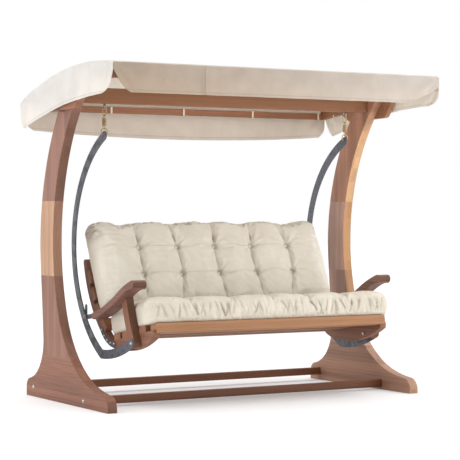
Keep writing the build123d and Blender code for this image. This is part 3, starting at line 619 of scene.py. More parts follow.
def cover_node(node: str, material: bpy.types.Material) -> None:
    """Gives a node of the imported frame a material.

    Args:
        node: Name of the node.
        material: Its material.
    """
    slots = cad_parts[node].data.materials
    if len(slots):
        for index in range(len(slots)):
            slots[index] = material
    else:
        slots.append(material)


def rows_of(values: bpy.types.bpy_prop_collection, label: str) -> Field:
    """Reads a collection of vectors, one row each."""
    flat = np.zeros(3 * len(values))
    values.foreach_get(label, flat)
    return flat.reshape(-1, 3)


def points_of(piece: bpy.types.Object) -> Field:
    """The vertices of a piece, one row of x, y and z each."""
    return rows_of(piece.data.vertices, "co")


def normals_of(piece: bpy.types.Object) -> Field:
    """The vertex normals of a piece, one unit row each."""
    return rows_of(piece.data.vertex_normals, "vector")


def move_points(piece: bpy.types.Object, points: Field) -> None:
    """Writes new places to a piece's vertices."""
    piece.data.vertices.foreach_set("co", points.ravel())
    piece.data.update()


def mark_points(piece: bpy.types.Object, name: str, values: Field) -> None:
    """Stores one number per vertex as a named attribute."""
    attribute = piece.data.attributes.get(name) or piece.data.attributes.new(name, "FLOAT", "POINT")
    attribute.data.foreach_set("value", values.astype(np.float32))


def smooth_step(values: Field, low: float, high: float) -> Field:
    """Rises smoothly from 0 to 1 between two values.

    Args:
        values: Where it is asked for.
        low: Where it starts to rise.
        high: Where it is full.

    Returns:
        The share at each value.
    """
    share = np.clip((values - low) / (high - low), 0.0, 1.0)
    return share * share * (3 - 2 * share)


def ripple(values: Field, seed: int, shortest: float, longest: float, layers: int) -> Field:
    """An uneven wave made of sines of mixed length.

    Args:
        values: Places along it, in metres.
        seed: Seed of its lengths and phases.
        shortest: Shortest wave in metres.
        longest: Longest wave in metres.
        layers: How many sines are summed.

    Returns:
        The wave, about -1 to 1.
    """
    draw = np.random.default_rng(seed)
    total = np.zeros_like(values)
    for _ in range(layers):
        length = draw.uniform(shortest, longest)
        phase = draw.uniform(0, 2 * math.pi)
        total += np.sin(2 * math.pi * values / length + phase)
    return total / math.sqrt(layers)


class FrameWood:
    """Posts, feet, beam, stretchers, rafters and canopy rails."""

    def finishes(self) -> dict[str, WoodFinish]:
        """The finish of each board, by node.

        Returns:
            Finishes by node name.
        """
        up, across, fore = Grain.UPRIGHT, Grain.SIDEWAYS, Grain.FORE_AND_AFT
        # Tone of the sides, tone of the front (wood tone, with painted light on some boards' fronts and
        # painted shade on others'), way of the grain and where in the figure the board is cut
        boards = {
            "left_post_upper": (paint(158, 115, 99), paint(124, 87, 70), up, 1.3),
            "left_post_middle": (paint(202, 158, 127), paint(154, 114, 90), up, 2.1),
            "left_post_lower": (paint(150, 108, 90), paint(131, 92, 74), up, 3.7),
            "left_foot": (paint(150, 102, 82), paint(110, 75, 56), fore, 4.4),
            "right_post_upper": (paint(186, 134, 108), paint(218, 172, 128), up, 5.9),
            "right_post_middle": (paint(196, 157, 140), paint(194, 144, 98), up, 6.2),
            "right_post_lower": (paint(198, 156, 136), paint(184, 135, 95), up, 7.5),
            "right_foot": (paint(184, 141, 118), paint(180, 140, 108), fore, 8.8),
            "hanging_beam": (paint(136, 90, 62), paint(148, 100, 68), across, 9.1),
            "front_stretcher": (paint(132, 86, 60), paint(112, 68, 44), across, 10.2),
            "rear_stretcher": (paint(142, 94, 66), paint(128, 82, 54), across, 11.6),
            "left_rafter": (paint(160, 110, 84), paint(150, 102, 74), fore, 12.3),
            "right_rafter": (paint(166, 116, 84), paint(170, 118, 82), fore, 13.7),
            "canopy_front_rail": (paint(150, 98, 70), paint(158, 104, 76), across, 14.8),
            "canopy_back_rail": (paint(150, 98, 70), paint(166, 112, 80), across, 15.5),
        }
        return {node: WoodFinish("wood_" + node, *look) for node, look in boards.items()}

    def build(self) -> None:
        """Gives each board its finish."""
        for node, finish in self.finishes().items():
            cover_node(node, finish.material())


class SeatWood:
    """Side frames, slats, front rail and armrests of the bench."""

    def build(self) -> None:
        """Gives each board its finish."""
        across, fore, up = Grain.SIDEWAYS, Grain.FORE_AND_AFT, Grain.UPRIGHT
        # Second tone of each finish is the front faces': painted shade darkens the armrest's and its
        # support's fronts on top of their wood tone
        front_rail = WoodFinish("wood_seat_front", paint(176, 128, 88), paint(170, 121, 82), across, 21.0)
        slat = WoodFinish("wood_slat", paint(168, 116, 86), paint(160, 110, 80), across, 22.4)
        rail = WoodFinish("wood_seat_side", paint(152, 106, 86), paint(150, 102, 74), fore, 23.9)
        upright = WoodFinish("wood_back_side", paint(150, 106, 88), paint(140, 98, 78), up, 24.6)
        rest = WoodFinish("wood_armrest", paint(136, 96, 84), paint(98, 63, 45), fore, 25.3)
        support = WoodFinish("wood_armrest_leg", paint(150, 100, 76), paint(104, 68, 48), up, 26.7)
        families = {
            "seat_front_rail": front_rail,
            "seat_slat": slat,
            "back_slat": slat,
            "seat_rail": rail,
            "back_upright": upright,
            "armrest_support": support,
            "armrest": rest,
        }
        made = {}
        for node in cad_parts:
            family = next((key for key in families if key in node), None)
            if family is None:
                continue
            finish = families[family]
            if finish.name not in made:
                made[finish.name] = finish.material()
            cover_node(node, made[finish.name])


class Steelwork:
    """Hanger arms, straps, bolts, links, springs and rings."""

    dark_words = ("hanger_arm", "arm_bracket", "corner_strap", "rafter_bolts")
    gilt_words = ("oval_link", "spring", "lower_ring")
    bright_words = ("bolts", "nuts")

    def build(self) -> None:
        """Gives each steel piece its finish."""
        dark = MetalFinish(
            name="steel_charcoal",
            fresh=paint(80, 84, 94),
            worn=paint(88, 92, 101),
            rough=0.52,
            metallic=0.0,
            relief=0.0002,
        )
        zinc = MetalFinish(
            name="steel_zinc",
            fresh=paint(186, 184, 180),
            worn=paint(150, 148, 146),
            rough=0.46,
            metallic=1.0,
            relief=0.0001,
        )
        gilt = MetalFinish(
            name="steel_yellow_zinc",
            fresh=paint(196, 172, 132),
            worn=paint(150, 126, 94),
            rough=0.5,
            metallic=1.0,
            relief=0.0001,
        )
        words = {dark: self.dark_words, gilt: self.gilt_words, zinc: self.bright_words}
        coats = [(finish.material(), names) for finish, names in words.items()]
        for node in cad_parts:
            fitting = [material for material, names in coats if any(name in node for name in names)]
            if fitting:
                cover_node(node, fitting[0])


@dataclass
class Springs:
    """The hangers' springs, which stretch between their upper hooks and the rings."""

    hook: float = 0.021

    def build(self) -> list[bpy.types.Object]:
        """Copies each spring as a piece of its own and hides the frame's node.

        Returns:
            The springs.
        """
        made = []
        for node in ("left_spring", "right_spring"):
            piece = copy_of_node(node, "_coil")
            low, high = np.min(points_of(piece), axis=0), np.max(points_of(piece), axis=0)
            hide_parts(node)
            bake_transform(piece)
            made.append(piece)
        return made


class CreamAndPaintedLight(Enum):
    """How much cream a part of the canopy has: the canvas's own cream, less on the back and none on the roof
    and sides, whose white is painted light.
    """

    NONE = 0.0
    BACK = 0.3
    FRONT = 1.0


class Sheet:
    """Rows of cloth points being woven into one mesh, with the cut pattern as a UV map."""

    def __init__(self) -> None:
        """Starts without cloth."""
        self.places: list[tuple[float, float, float]] = []
        self.flat: list[tuple[float, float]] = []
        self.hems: list[float] = []
        self.creams: list[float] = []
        self.faces: list[tuple[int, int, int, int]] = []

    def put(self, points: Field, pattern: Field, to_hem: Field, cream: Field) -> list[int]:
        """Adds a row of points.

        Args:
            points: Their places in the frame.
            pattern: Their places in the cut cloth.
            to_hem: Their distances from the hem.
            cream: How much cream they have, less where painted light whitens the canvas.

        Returns:
            The points' numbers.
        """
        start = len(self.places)
        self.places.extend(map(tuple, points))
        self.flat.extend(map(tuple, pattern))
        self.hems.extend(to_hem)
        self.creams.extend(cream)
        return list(range(start, start + len(points)))

    def weave(self, first: list[int], second: list[int]) -> None:
        """Joins two rows of points with faces.

        Args:
            first: Numbers of the first row.
            second: Numbers of the second row.
        """
        for index in range(len(first) - 1):
            self.faces.append((first[index], first[index + 1], second[index + 1], second[index]))

    def make(self, name: str) -> bpy.types.Object:
        """Turns the woven rows into an object.

        Args:
            name: Name of the object.

        Returns:
            The sheet.
        """
        mesh = bpy.data.meshes.new(name)
        mesh.from_pydata(self.places, [], self.faces)
        uv = mesh.uv_layers.new(name="cut")
        corners = np.zeros(len(mesh.loops), int)
        mesh.loops.foreach_get("vertex_index", corners)
        uv.data.foreach_set("uv", np.array(self.flat)[corners].ravel())
        piece = new_piece(name, mesh)
        mark_points(piece, "to_hem", np.array(self.hems))
        mark_points(piece, "cream", np.array(self.creams))
        return piece


@dataclass(frozen=True)
class FlapEnd:
    """Cut of a flap's end: how far its hem stands in, and how much of that is a straight slant."""

    inset: float
    straight: float
    power: int = 5

    def at(self, share: float) -> float:
        """The inset at a share of the way down to the hem."""
        return self.inset * (self.straight * share + (1 - self.straight) * share**self.power)

    def mean(self) -> float:
        """The mean inset from the top to the hem."""
        return self.inset * (self.straight / 2 + (1 - self.straight) / (self.power + 1))


@dataclass
class Canopy:
    """The canvas cover: one sheet cut as a cross, folded over the frame's edges and sewn at its corners."""

    half_width: float = 1.1935
    front_y: float = -0.6955
    back_y: float = 0.6885
    arch_radius: float = 2.9225
    arch_y: float = -0.354
    crown_z: float = 2.1225
    rafter_inner_x: float = 1.147
    rail_inner_y: float = -0.652
    drop: float = 0.187
    sewn: float = 0.048
    front_left_end: FlapEnd = FlapEnd(0.115, 0.6)
    front_right_end: FlapEnd = FlapEnd(0.3, 0.0, 2)
    back_end: FlapEnd = FlapEnd(0.075, 0.3)
    side_front_end: FlapEnd = FlapEnd(0.13, 0.2)
    side_back_end: FlapEnd = FlapEnd(0.06, 0.3)
    fold_radius: float = 0.007
    back_lean: float = 0.29
    back_extra: float = 0.006
    back_belly: float = 0.046
    side_front_extra: float = 0.016
    side_back_extra: float = 0.031
    side_belly: float = 0.0215
    side_flare: float = 0.01
    cell: float = 0.0125
    cloth: float = 0.0022
    hem: float = 0.016
    # Painted light: the front flap's cream falls by this share from its left end to its right end, shaded at
    # the left and lit at the right
    painted_light_to_right: float = 0.55
    through: float = 0.35
    seam_x: float = -0.577
    creases: tuple[float, ...] = (0.42, 0.71)
    sag_depth: float = 0.013
    roof_wrinkle: float = 0.004
    end_billow: float = 0.009
    side_billow: float = 0.007
    corner_fold: float = 0.008
    pleat_height: float = 0.011
    pleat_width: float = 0.014
    swell_gap: float = 0.04
    swell_width: float = 0.03
    swell_height: float = 0.006
    stitch_width: float = 0.004
    stitch_tone: float = 0.35
    seam_width: float = 0.006
    seam_tone: float = 0.4
    crease_width: float = 0.012
    crease_depth: float = 0.0015
    threads: float = 700.0
    relief: float = 0.0003
    sheet: Sheet = field(default_factory=Sheet)

    def __post_init__(self) -> None:
        """Works out where the folds start and the lines that the cloth is woven on."""
        self.inner_x = self.half_width - self.fold_radius
        self.inner_front = self.front_y + self.fold_radius
        self.inner_back = self.back_y - self.fold_radius
        columns = round(2 * self.half_width / self.cell)
        rows = round((self.back_y - self.front_y) / self.cell)
        self.x_line = np.linspace(-self.inner_x, self.inner_x, columns + 1)
        self.y_line = np.linspace(self.inner_front, self.inner_back, rows + 1)
        self.depth_line = np.linspace(0, self.drop, round(self.drop / self.cell) + 1)[1:]

    def roof_height(self, y: Field) -> Field:
        """Height of the arched roof at places along Y."""
        return self.crown_z - self.arch_radius + np.sqrt(self.arch_radius**2 - (y - self.arch_y) ** 2)

    def sag(self, x: Field, y: Field) -> Field:
        """How far the roof hangs down between rafters, front rail and rear edge, with soft wrinkles.

        Args:
            x: Places along X.
            y: Places along Y.

        Returns:
            Depths in metres.
        """
        along = 1 - (x / self.rafter_inner_x) ** 2
        middle = (self.rail_inner_y + self.back_y) / 2
        across = 1 - ((y - middle) / (self.back_y - middle)) ** 2
        pull = np.clip(along, 0, 1) * np.clip(across, 0, 1)
        wrinkle = 0.5 + 0.5 * ripple(x + 0.35 * y, 4, 0.16, 0.5, 5) * ripple(y, 5, 0.5, 0.9, 2)
        return self.sag_depth * pull**0.7 + self.roof_wrinkle * pull * np.clip(wrinkle, 0, 2)

    def inset(self, depth: float, end: FlapEnd) -> float:
        """How far a flap's end stands in from the corner: sewn above, slanting below, rounded at the hem.

        Args:
            depth: Depth below the fold.
            end: The cut of the flap's end.

        Returns:
            The inset in metres.
        """
        share = min(max((depth - self.sewn) / (self.drop - self.sewn), 0.0), 1.0)
        return end.at(share)

    def drape(self, depth: Field, lean: float) -> tuple[Field, Field]:
        """Takes cloth over the fold and down.

        Args:
            depth: Lengths of cloth past the fold's start.
            lean: How much the flap leans inwards, in radians.

        Returns:
            How far it stands out and how far it has come down.
        """
        bend = math.pi / 2
        turn = np.clip(depth / self.fold_radius, 0, bend)
        out = self.fold_radius * np.sin(turn)
        down = self.fold_radius * (1 - np.cos(turn))
        rest = np.clip(depth - bend * self.fold_radius, 0, None)
        return out - rest * math.sin(lean), down + rest * math.cos(lean)

    def billows(self, along: Field, depth: Field, to_corner: Field, seed: int, height: float) -> Field:
        """Soft outward waves of a flap and small folds that fan out from its corners.

        Args:
            along: Places along the fold.
            depth: Lengths of cloth below it.
            to_corner: Distances from the nearer corner.
            seed: Seed of the waves.
            height: Height of the waves at the hem.

        Returns:
            How far the cloth stands out.
        """
        share = np.clip(depth / self.drop, 0, 1)
        long_wave = 0.5 + 0.5 * np.clip(ripple(along, seed, 0.3, 0.75, 4), -1.2, 1.2)
        short_wave = 0.5 + 0.5 * np.clip(ripple(along + 0.4 * depth, seed + 1, 0.07, 0.16, 5), -1.3, 1.3)
        waves = height * share**1.3 * (0.8 * long_wave + 0.25 * short_wave)
        reach = np.hypot(to_corner, depth)
        angle = np.arctan2(depth, to_corner + 1e-6)
        fan = 0.5 + 0.5 * np.sin(11.0 * angle + 0.8)
        fades = smooth_step(reach, 0.02, 0.07) * (1 - smooth_step(reach, 0.14, 0.38))
        folds = self.corner_fold * fan * fades
        held = (1 - smooth_step(to_corner, 0.0, 0.06)) * (1 - smooth_step(depth, self.sewn, 2 * self.sewn))
        return (waves + folds) * (1 - held)

    def seam_pleat(self, x: Field, depth: Field) -> Field:
        """The sewn pleat that runs down the front flap, and the lower swell beside it.

        Args:
            x: Places along the flap.
            depth: Lengths of cloth below the fold.

        Returns:
            How far the cloth stands out.
        """
        ridge = np.exp(-(((x - self.seam_x) / self.pleat_width) ** 2))
        beside = np.exp(-(((x - self.seam_x - self.swell_gap) / self.swell_width) ** 2))
        raised = self.pleat_height * ridge + self.swell_height * beside
        return smooth_step(depth, 0.0, 0.02) * raised

    def roof(self) -> list[list[int]]:
        """Weaves the roof.

        Returns:
            The numbers of its points, row by row from the front.
        """
        far = np.full_like(self.x_line, self.drop)
        plain = np.full_like(self.x_line, CreamAndPaintedLight.NONE.value)
        rows = []
        for y in self.y_line:
            y_row = np.full_like(self.x_line, y)
            z_row = self.roof_height(y_row) - self.sag(self.x_line, y_row)
            points = np.column_stack((self.x_line, y_row, z_row))
            rows.append(self.sheet.put(points, points[:, :2], far, plain))
        for first, second in zip(rows, rows[1:]):
            self.sheet.weave(first, second)
        return rows

    def end_flap(self, side: int, above: list[int]) -> None:
        """Weaves the front or the back flap.

        Args:
            side: -1 for the front, 1 for the back.
            above: Numbers of the points along its fold.
        """
        at_front = side < 0
        lean = 0.0 if at_front else self.back_lean
        fold_y = self.inner_front if at_front else self.inner_back
        left_end = self.front_left_end if at_front else self.back_end
        right_end = self.front_right_end if at_front else self.back_end
        run = 0.5 + 0.5 * self.x_line / self.inner_x
        tone = np.full_like(self.x_line, CreamAndPaintedLight.BACK.value)
        if at_front:
            # Painted light: the front flap whitens toward its right end
            tone = CreamAndPaintedLight.FRONT.value * (1 - self.painted_light_to_right * run)
        for depth in self.depth_line:
            corner_out, _ = self.drape(depth, 0.0)
            reach = self.inner_x + corner_out
            left_x = self.inset(depth, left_end) - reach
            right_x = reach - self.inset(depth, right_end)
            x_row = left_x + run * (right_x - left_x)
            middle = np.clip(1 - (x_row / self.half_width) ** 2, 0, 1)
            extra = 0.0 if at_front else self.back_extra + self.back_belly * middle
            length = depth * (1 + extra / self.drop)
            out, down = self.drape(length, lean)
            to_corner = self.half_width - np.abs(x_row)
            out = out + self.billows(x_row, length, to_corner, 20 + side, self.end_billow)
            if at_front:
                out = out + self.seam_pleat(x_row, length)
            edge = np.full_like(x_row, fold_y)
            points = np.column_stack((x_row, edge + side * out, self.roof_height(edge) - down))
            pattern = np.column_stack((x_row, edge + side * length))
            below = self.sheet.put(points, pattern, np.full_like(x_row, self.drop - depth), tone)
            self.sheet.weave(*((below, above) if at_front else (above, below)))
            above = below

    def side_flap(self, side: int, above: list[int]) -> None:
        """Weaves one side flap.

        Args:
            side: -1 for the left, 1 for the right.
            above: Numbers of the points along its fold.
        """
        run = (self.y_line - self.inner_front) / (self.inner_back - self.inner_front)
        middle = 1 - (2 * run - 1) ** 2
        plain = np.full_like(run, CreamAndPaintedLight.NONE.value)
        extra = self.side_front_extra * (1 - run) + self.side_back_extra * run + self.side_belly * middle
        for depth in self.depth_line:
            corner_out, _ = self.drape(depth, 0.0)
            back_out, _ = self.drape(depth, self.back_lean)
            front_end = self.inner_front - corner_out + self.inset(depth, self.side_front_end)
            back_end = self.inner_back + back_out - self.inset(depth, self.side_back_end)
            y_row = front_end + run * (back_end - front_end)
            hanging = smooth_step(np.array(depth), self.sewn, self.drop)
            length = depth + extra * hanging
            out, down = self.drape(length, 0.0)
            to_corner = np.minimum(run, 1 - run) * (self.inner_back - self.inner_front)
            out = out + self.billows(y_row, length, to_corner, 30 + side, self.side_billow)
            out = out + self.side_flare * hanging
            height = self.roof_height(np.clip(y_row, self.inner_front, self.inner_back))
            points = np.column_stack((side * (self.inner_x + out), y_row, height - down))
            pattern = np.column_stack((side * (self.inner_x + length), y_row))
            below = self.sheet.put(points, pattern, np.full_like(y_row, self.drop - depth), plain)
            self.sheet.weave(*((above, below) if side < 0 else (below, above)))
            above = below

    def build(self) -> bpy.types.Object:
        """Makes the sheet.

        Returns:
            The canopy.
        """
        rows = self.roof()
        self.end_flap(-1, rows[0])
        self.end_flap(1, rows[-1])
        self.side_flap(-1, [row[0] for row in rows])
        self.side_flap(1, [row[-1] for row in rows])
        canopy = self.sheet.make("canopy_cover")
        self.finish(canopy)
        return canopy

    def flat_area(self) -> float:
        """Area of the cut cloth: the cross less its slanted and rounded flap ends.

        Returns:
            Square metres.
        """
        width, length = self.half_width * 2, self.back_y - self.front_y
        cross = width * length + 2 * self.drop * (width + length)
        ends = [self.front_left_end, self.front_right_end]
        ends += 2 * [self.back_end, self.side_front_end, self.side_back_end]
        cut_off = (self.drop - self.sewn) * sum(end.mean() for end in ends)
        side_extra = (self.side_front_extra + self.side_back_extra) / 2
        longer = self.back_extra * width + 2 * side_extra * length
        bellies = 2 / 3 * (self.back_belly * width + 2 * self.side_belly * length)
        return cross - cut_off + longer + bellies

    def finish(self, canopy: bpy.types.Object) -> None:
        """Args:
            canopy: The sheet.
        """
        pick(canopy)
        bpy.ops.object.shade_smooth()
        canopy.data.materials.append(self.material())
        skin = canopy.modifiers.new("cloth", "SOLIDIFY")
        skin.thickness = self.cloth
        skin.offset = 0.0
        skin.use_rim = True
        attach(canopy, "frame")
        flaps = [f"canopy_{side}_flap" for side in ("front", "back", "left", "right")]
        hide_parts("canopy_roof", *flaps)
        self.flat_area()

    def material(self) -> bpy.types.Material:
        """Canvas: white on the roof and sides as painted light, cream on the front and back, whiter toward
        the front flap's right end as painted light, stitched at the hem.

        Returns:
            The material.
        """
        material, board, shader = bare_material("canvas")
        place = board.add("ShaderNodeUVMap", uv_map="cut").outputs[0]
        cream = board.add("ShaderNodeAttribute", attribute_name="cream").outputs["Fac"]
        # Painted light: white where the cream mark is low, on the roof, the sides and the front flap's right
        # end
        cloth = board.blend(cream, paint(244, 243, 241), paint(204, 187, 168))
        worn = board.blend(cream, paint(236, 234, 231), paint(192, 175, 156))
        inputs = {"Place": place, "Threads": self.threads, "Cloth": cloth, "Worn": worn}
        effect = dress(board, shader, Groups.weave, inputs, self.relief)
        to_hem = board.add("ShaderNodeAttribute", attribute_name="to_hem").outputs["Fac"]
        hem = self.line_at(board, to_hem, self.hem, self.stitch_width, self.stitch_tone)
        split = board.add("ShaderNodeSeparateXYZ")
        board.feed(split.inputs[0], place)
        across, back = split.outputs[0], split.outputs[1]
        front = board.spread(back, self.front_y, self.front_y - 0.02, 0.0, 1.0)
        seam = board.sum_of("MULTIPLY", self.line_at(board, across, self.seam_x, self.seam_width), front)
        stitch = board.sum_of("MAXIMUM", hem, board.sum_of("MULTIPLY", seam, self.seam_tone))
        shaded = board.blend(stitch, effect.outputs["Colour"], paint(138, 122, 106))
        pressed = 0.0
        for x in self.creases:
            pressed = board.sum_of("ADD", self.line_at(board, across, x, self.crease_width), pressed)
        crease = board.add("ShaderNodeBump")
        relief = {
            "Distance": self.crease_depth,
            "Height": board.sum_of("MULTIPLY", pressed, front),
            "Normal": shader.inputs["Normal"].links[0].from_socket,
        }
        board.fill(crease, relief)
        looks = {
            "Base Color": shaded,
            "Normal": crease.outputs[0],
            "Specular IOR Level": 0.15,
            "Sheen Weight": 0.1,
        }
        board.fill(shader, looks)
        glow = board.add("ShaderNodeBsdfTranslucent")
        board.feed(glow.inputs["Color"], board.blend(0.5, shaded, paint(250, 228, 196)))
        board.mix_shaders(self.through, shader, glow)
        return material

    def line_at(
        self, board: NodeBoard, across: Socket, place: float, width: float, tone: float = 1.0
    ) -> Socket:
        """A soft line along the cloth.

        Args:
            board: The material's nodes.
            across: Coordinate across the line.
            place: Where the line is.
            width: Half the line's width.
            tone: How strong the line is in its middle.

        Returns:
            The tone on the line, falling to 0 at its edges.
        """
        gap = board.sum_of("ABSOLUTE", board.sum_of("SUBTRACT", across, place))
        return board.spread(gap, 0.0, width, tone, 0.0)


@dataclass
class CanopyTies:
    """Canvas ribbons that hold the cover to the back rail and the rafters."""

    rail_places: tuple[float, ...] = (-1.107, -0.555, 0.0, 0.555, 1.107)
    rail_middle: tuple[float, float] = (0.646, 1.8975)
    rail_half: tuple[float, float] = (0.015, 0.0205)
    rafter_inner_x: float = 1.149
    tail_y: float = 0.49
    tail_low: float = 1.832
    tail_high: float = 1.905
    ease: float = 0.0022
    width: float = 0.014
    cloth: float = 0.0016

    def build(self) -> list[bpy.types.Object]:
        """Ties the cover on.

        Returns:
            The ribbons.
        """
        finish = ClothFinish(
            name="ribbon_cotton",
            cloth=paint(232, 224, 208),
            worn=paint(222, 212, 194),
            fold=paint(170, 156, 136),
            threads=900.0,
            relief=0.0002,
            fold_shade_share=0.0,
            sheen=0.1,
        )
        material = finish.material()
        ties = [self.loop(x, number, material) for number, x in enumerate(self.rail_places, 1)]
        return ties + [self.tail(side, material) for side in (-1, 1)]

    def loop(self, x: float, number: int, material: bpy.types.Material) -> bpy.types.Object:
        """Models one ribbon as a band round the rail.

        Args:
            x: Place along the rail.
            number: The ribbon's number.
            material: Its cloth.

        Returns:
            The ribbon.
        """
        deselect_all()
        bpy.ops.mesh.primitive_cube_add(size=1.0, location=(x, *self.rail_middle))
        piece = name_active(f"canopy_tie_{number}")
        around = [2 * (half + self.ease) for half in self.rail_half]
        bpy.ops.transform.resize(value=(self.width, *around))
        settle(piece)
        bpy.ops.object.mode_set(mode="EDIT")
        bpy.ops.mesh.select_mode(type="FACE")
        bpy.ops.mesh.select_all(action="DESELECT")
        bpy.ops.object.mode_set(mode="OBJECT")
        for face in piece.data.polygons:
            face.select = abs(face.normal.x) > 0.5
        bpy.ops.object.mode_set(mode="EDIT")
        bpy.ops.mesh.delete(type="ONLY_FACE")
        bpy.ops.object.mode_set(mode="OBJECT")
        band = piece.modifiers.new("band", "SOLIDIFY")
        band.thickness = self.cloth
        band.offset = 1.0
        apply_modifier(piece, band.name)
        self.finish(piece, material)
        return piece

    def tail(self, side: int, material: bpy.types.Material) -> bpy.types.Object:
        """Models a loose end that hangs down a rafter's inner face.

        Args:
            side: -1 for the left, 1 for the right.
            material: Its cloth.

        Returns:
            The ribbon.
        """
        deselect_all()
        x = side * (self.rafter_inner_x - self.ease)
        z = (self.tail_low + self.tail_high) / 2
        bpy.ops.mesh.primitive_cube_add(size=1.0, location=(x, self.tail_y, z))
        piece = name_active(f"canopy_tie_{'left' if side < 0 else 'right'}")
        bpy.ops.transform.resize(value=(self.cloth, self.width, self.tail_high - self.tail_low))
        settle(piece)
        self.finish(piece, material)
        return piece

    def finish(self, piece: bpy.types.Object, material: bpy.types.Material) -> None:
        """Softens a ribbon's edges, dresses it and hangs it on the frame.

        Args:
            piece: The ribbon.
            material: Its cloth.
        """
        bevel = piece.modifiers.new("soft", "BEVEL")
        bevel.width = self.cloth / 3
        bevel.segments = 2
        apply_modifier(piece, bevel.name)
        piece.data.materials.append(material)
        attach(piece, "frame")


class Face(Enum):
    """Which solid a cushion replaces."""

    SEAT = "seat_cushion"
    BACK = "back_cushion"


@dataclass
class Cushion:
    """A stuffed cushion: the solid's form, swollen by a cloth simulation, creased and gathered."""

    face: Face
    foot: tuple[float, float]
    lean: float
    rows: tuple[float, ...]
    seed: int
    pucker_depth: float
    smooth_below: float
    smooth_above: float
    ends_gathered_above: float
    corner_fill: float
    cloth: Colour
    worn: Colour
    columns: tuple[float, ...] = (-0.568, -0.284, 0.0, 0.284, 0.568)
    voxel: float = 0.0095
    frames: int = 12
    pressure: float = 3.0
    most_swell: float = 0.011
    most_out: float = 0.856
    crease_bend: float = 0.016
    crease_depth: float = 0.014
    level_depth: float = 0.005
    level_width: float = 0.004
    steep_width: float = 0.005
    easy_width: float = 0.012
    dimple_radius: float = 0.02
    dimple_depth: float = 0.010
    fan_depth: float = 0.002
    slack_depth: float = 0.0012
    fine_depth: float = 0.0009
    fade: float = 0.1

    def local(self, points: Field) -> tuple[Field, Field]:
        """Places along and out of the cushion's own leaning plane.

        Args:
            points: Places in the frame.

        Returns:
            How far along the plane and how far out of it each place is.
        """
        y = points[:, 1] - self.foot[0]
        z = points[:, 2] - self.foot[1]
        along = y * math.sin(self.lean) + z * math.cos(self.lean)
        out = -y * math.cos(self.lean) + z * math.sin(self.lean)
        return along, out

    def out_way(self) -> Field:
        """The direction out of the cushion's plane."""
        return np.array((0.0, -math.cos(self.lean), math.sin(self.lean)))

    def crease_x(self, column: int, along: Field) -> Field:
        """Where a crease between columns runs, bending a little between its buttons.

        Args:
            column: Number of the crease.
            along: Places along the cushion.

        Returns:
            Places along X.
        """
        draw = np.random.default_rng(self.seed + column)
        bend = draw.uniform(-self.crease_bend, self.crease_bend)
        sway = np.ones_like(along)
        for row in self.rows:
            sway = sway * np.clip((along - row) / 0.12, -1.6, 1.6)
        return self.columns[column] + bend * sway

    def crease_gap(self, points: Field) -> Field:
        """Distance along X of each place from the nearest crease between columns.

        Args:
            points: Places in the frame.

        Returns:
            Distances in metres, negative on the left of the crease.
        """
        along, _ = self.local(points)
        lines = [self.crease_x(column, along) for column in range(len(self.columns))]
        gaps = np.stack([points[:, 0] - line for line in lines])
        nearest = np.argmin(np.abs(gaps), axis=0)
        return np.take_along_axis(gaps, nearest[None], axis=0)[0]

    def front_share(self, normals: Field) -> Field:
        """How much each place faces the sitter."""
        return smooth_step(normals @ self.out_way(), 0.1, 0.6)

    def blank(self) -> bpy.types.Object:
        """A copy of the solid, merged and divided evenly.

        Returns:
            The cushion before it is stuffed.
        """
        piece = copy_of_node(self.face.value, "_cover")
        piece.data.materials.clear()
        pick(piece)
        bpy.ops.object.mode_set(mode="EDIT")
        bpy.ops.mesh.select_all(action="SELECT")
        bpy.ops.mesh.remove_doubles(threshold=0.00005)
        bpy.ops.object.mode_set(mode="OBJECT")
        remesh = piece.modifiers.new("even", "REMESH")
        remesh.mode = "VOXEL"
        remesh.voxel_size = self.voxel
        apply_modifier(piece, remesh.name)
        relax = piece.modifiers.new("relax", "SMOOTH")
        relax.factor = 0.5
        relax.iterations = 4
        apply_modifier(piece, relax.name)
        return piece

    def swell(self, piece: bpy.types.Object) -> None:
        """Blows the cover up against its pinned creases and its flat underside.

        Args:
            piece: The cushion.
        """
        before = points_of(piece)
        normals = normals_of(piece)
        near = 1 - smooth_step(np.abs(self.crease_gap(before)), 0.004, 0.014)
        resting = smooth_step(-(normals @ self.out_way()), 0.55, 0.8)
        hold = np.clip(np.maximum(self.front_share(normals) * near, resting), 0, 1)
        group = piece.vertex_groups.new(name="held")
        for index in np.nonzero(hold > 0.05)[0]:
            group.add([int(index)], float(hold[index]), "REPLACE")
        cloth = piece.modifiers.new("swell", "CLOTH")
        cover = {
            "quality": 5,
            "mass": 0.3,
            "tension_stiffness": 12,
            "compression_stiffness": 12,
            "shear_stiffness": 6,
            "bending_stiffness": 0.4,
            "use_pressure": True,
            "uniform_pressure_force": self.pressure,
            "vertex_group_mass": group.name,
            "shrink_min": -0.04,
        }
        for label, value in cover.items():
            setattr(cloth.settings, label, value)
        cloth.settings.effector_weights.gravity = 0.0
        cloth.collision_settings.use_self_collision = False
        cloth.point_cache.frame_start = 1
        cloth.point_cache.frame_end = self.frames
        scene = bpy.context.scene
        for number in range(1, self.frames + 1):
            scene.frame_set(number)
        apply_modifier(piece, cloth.name)
        scene.frame_set(1)
        step = points_of(piece) - before
        length = np.linalg.norm(step, axis=1, keepdims=True)
        step = step * np.minimum(1.0, self.most_swell / np.maximum(length, 1e-9))
        move_points(piece, before + step)
        piece.vertex_groups.clear()

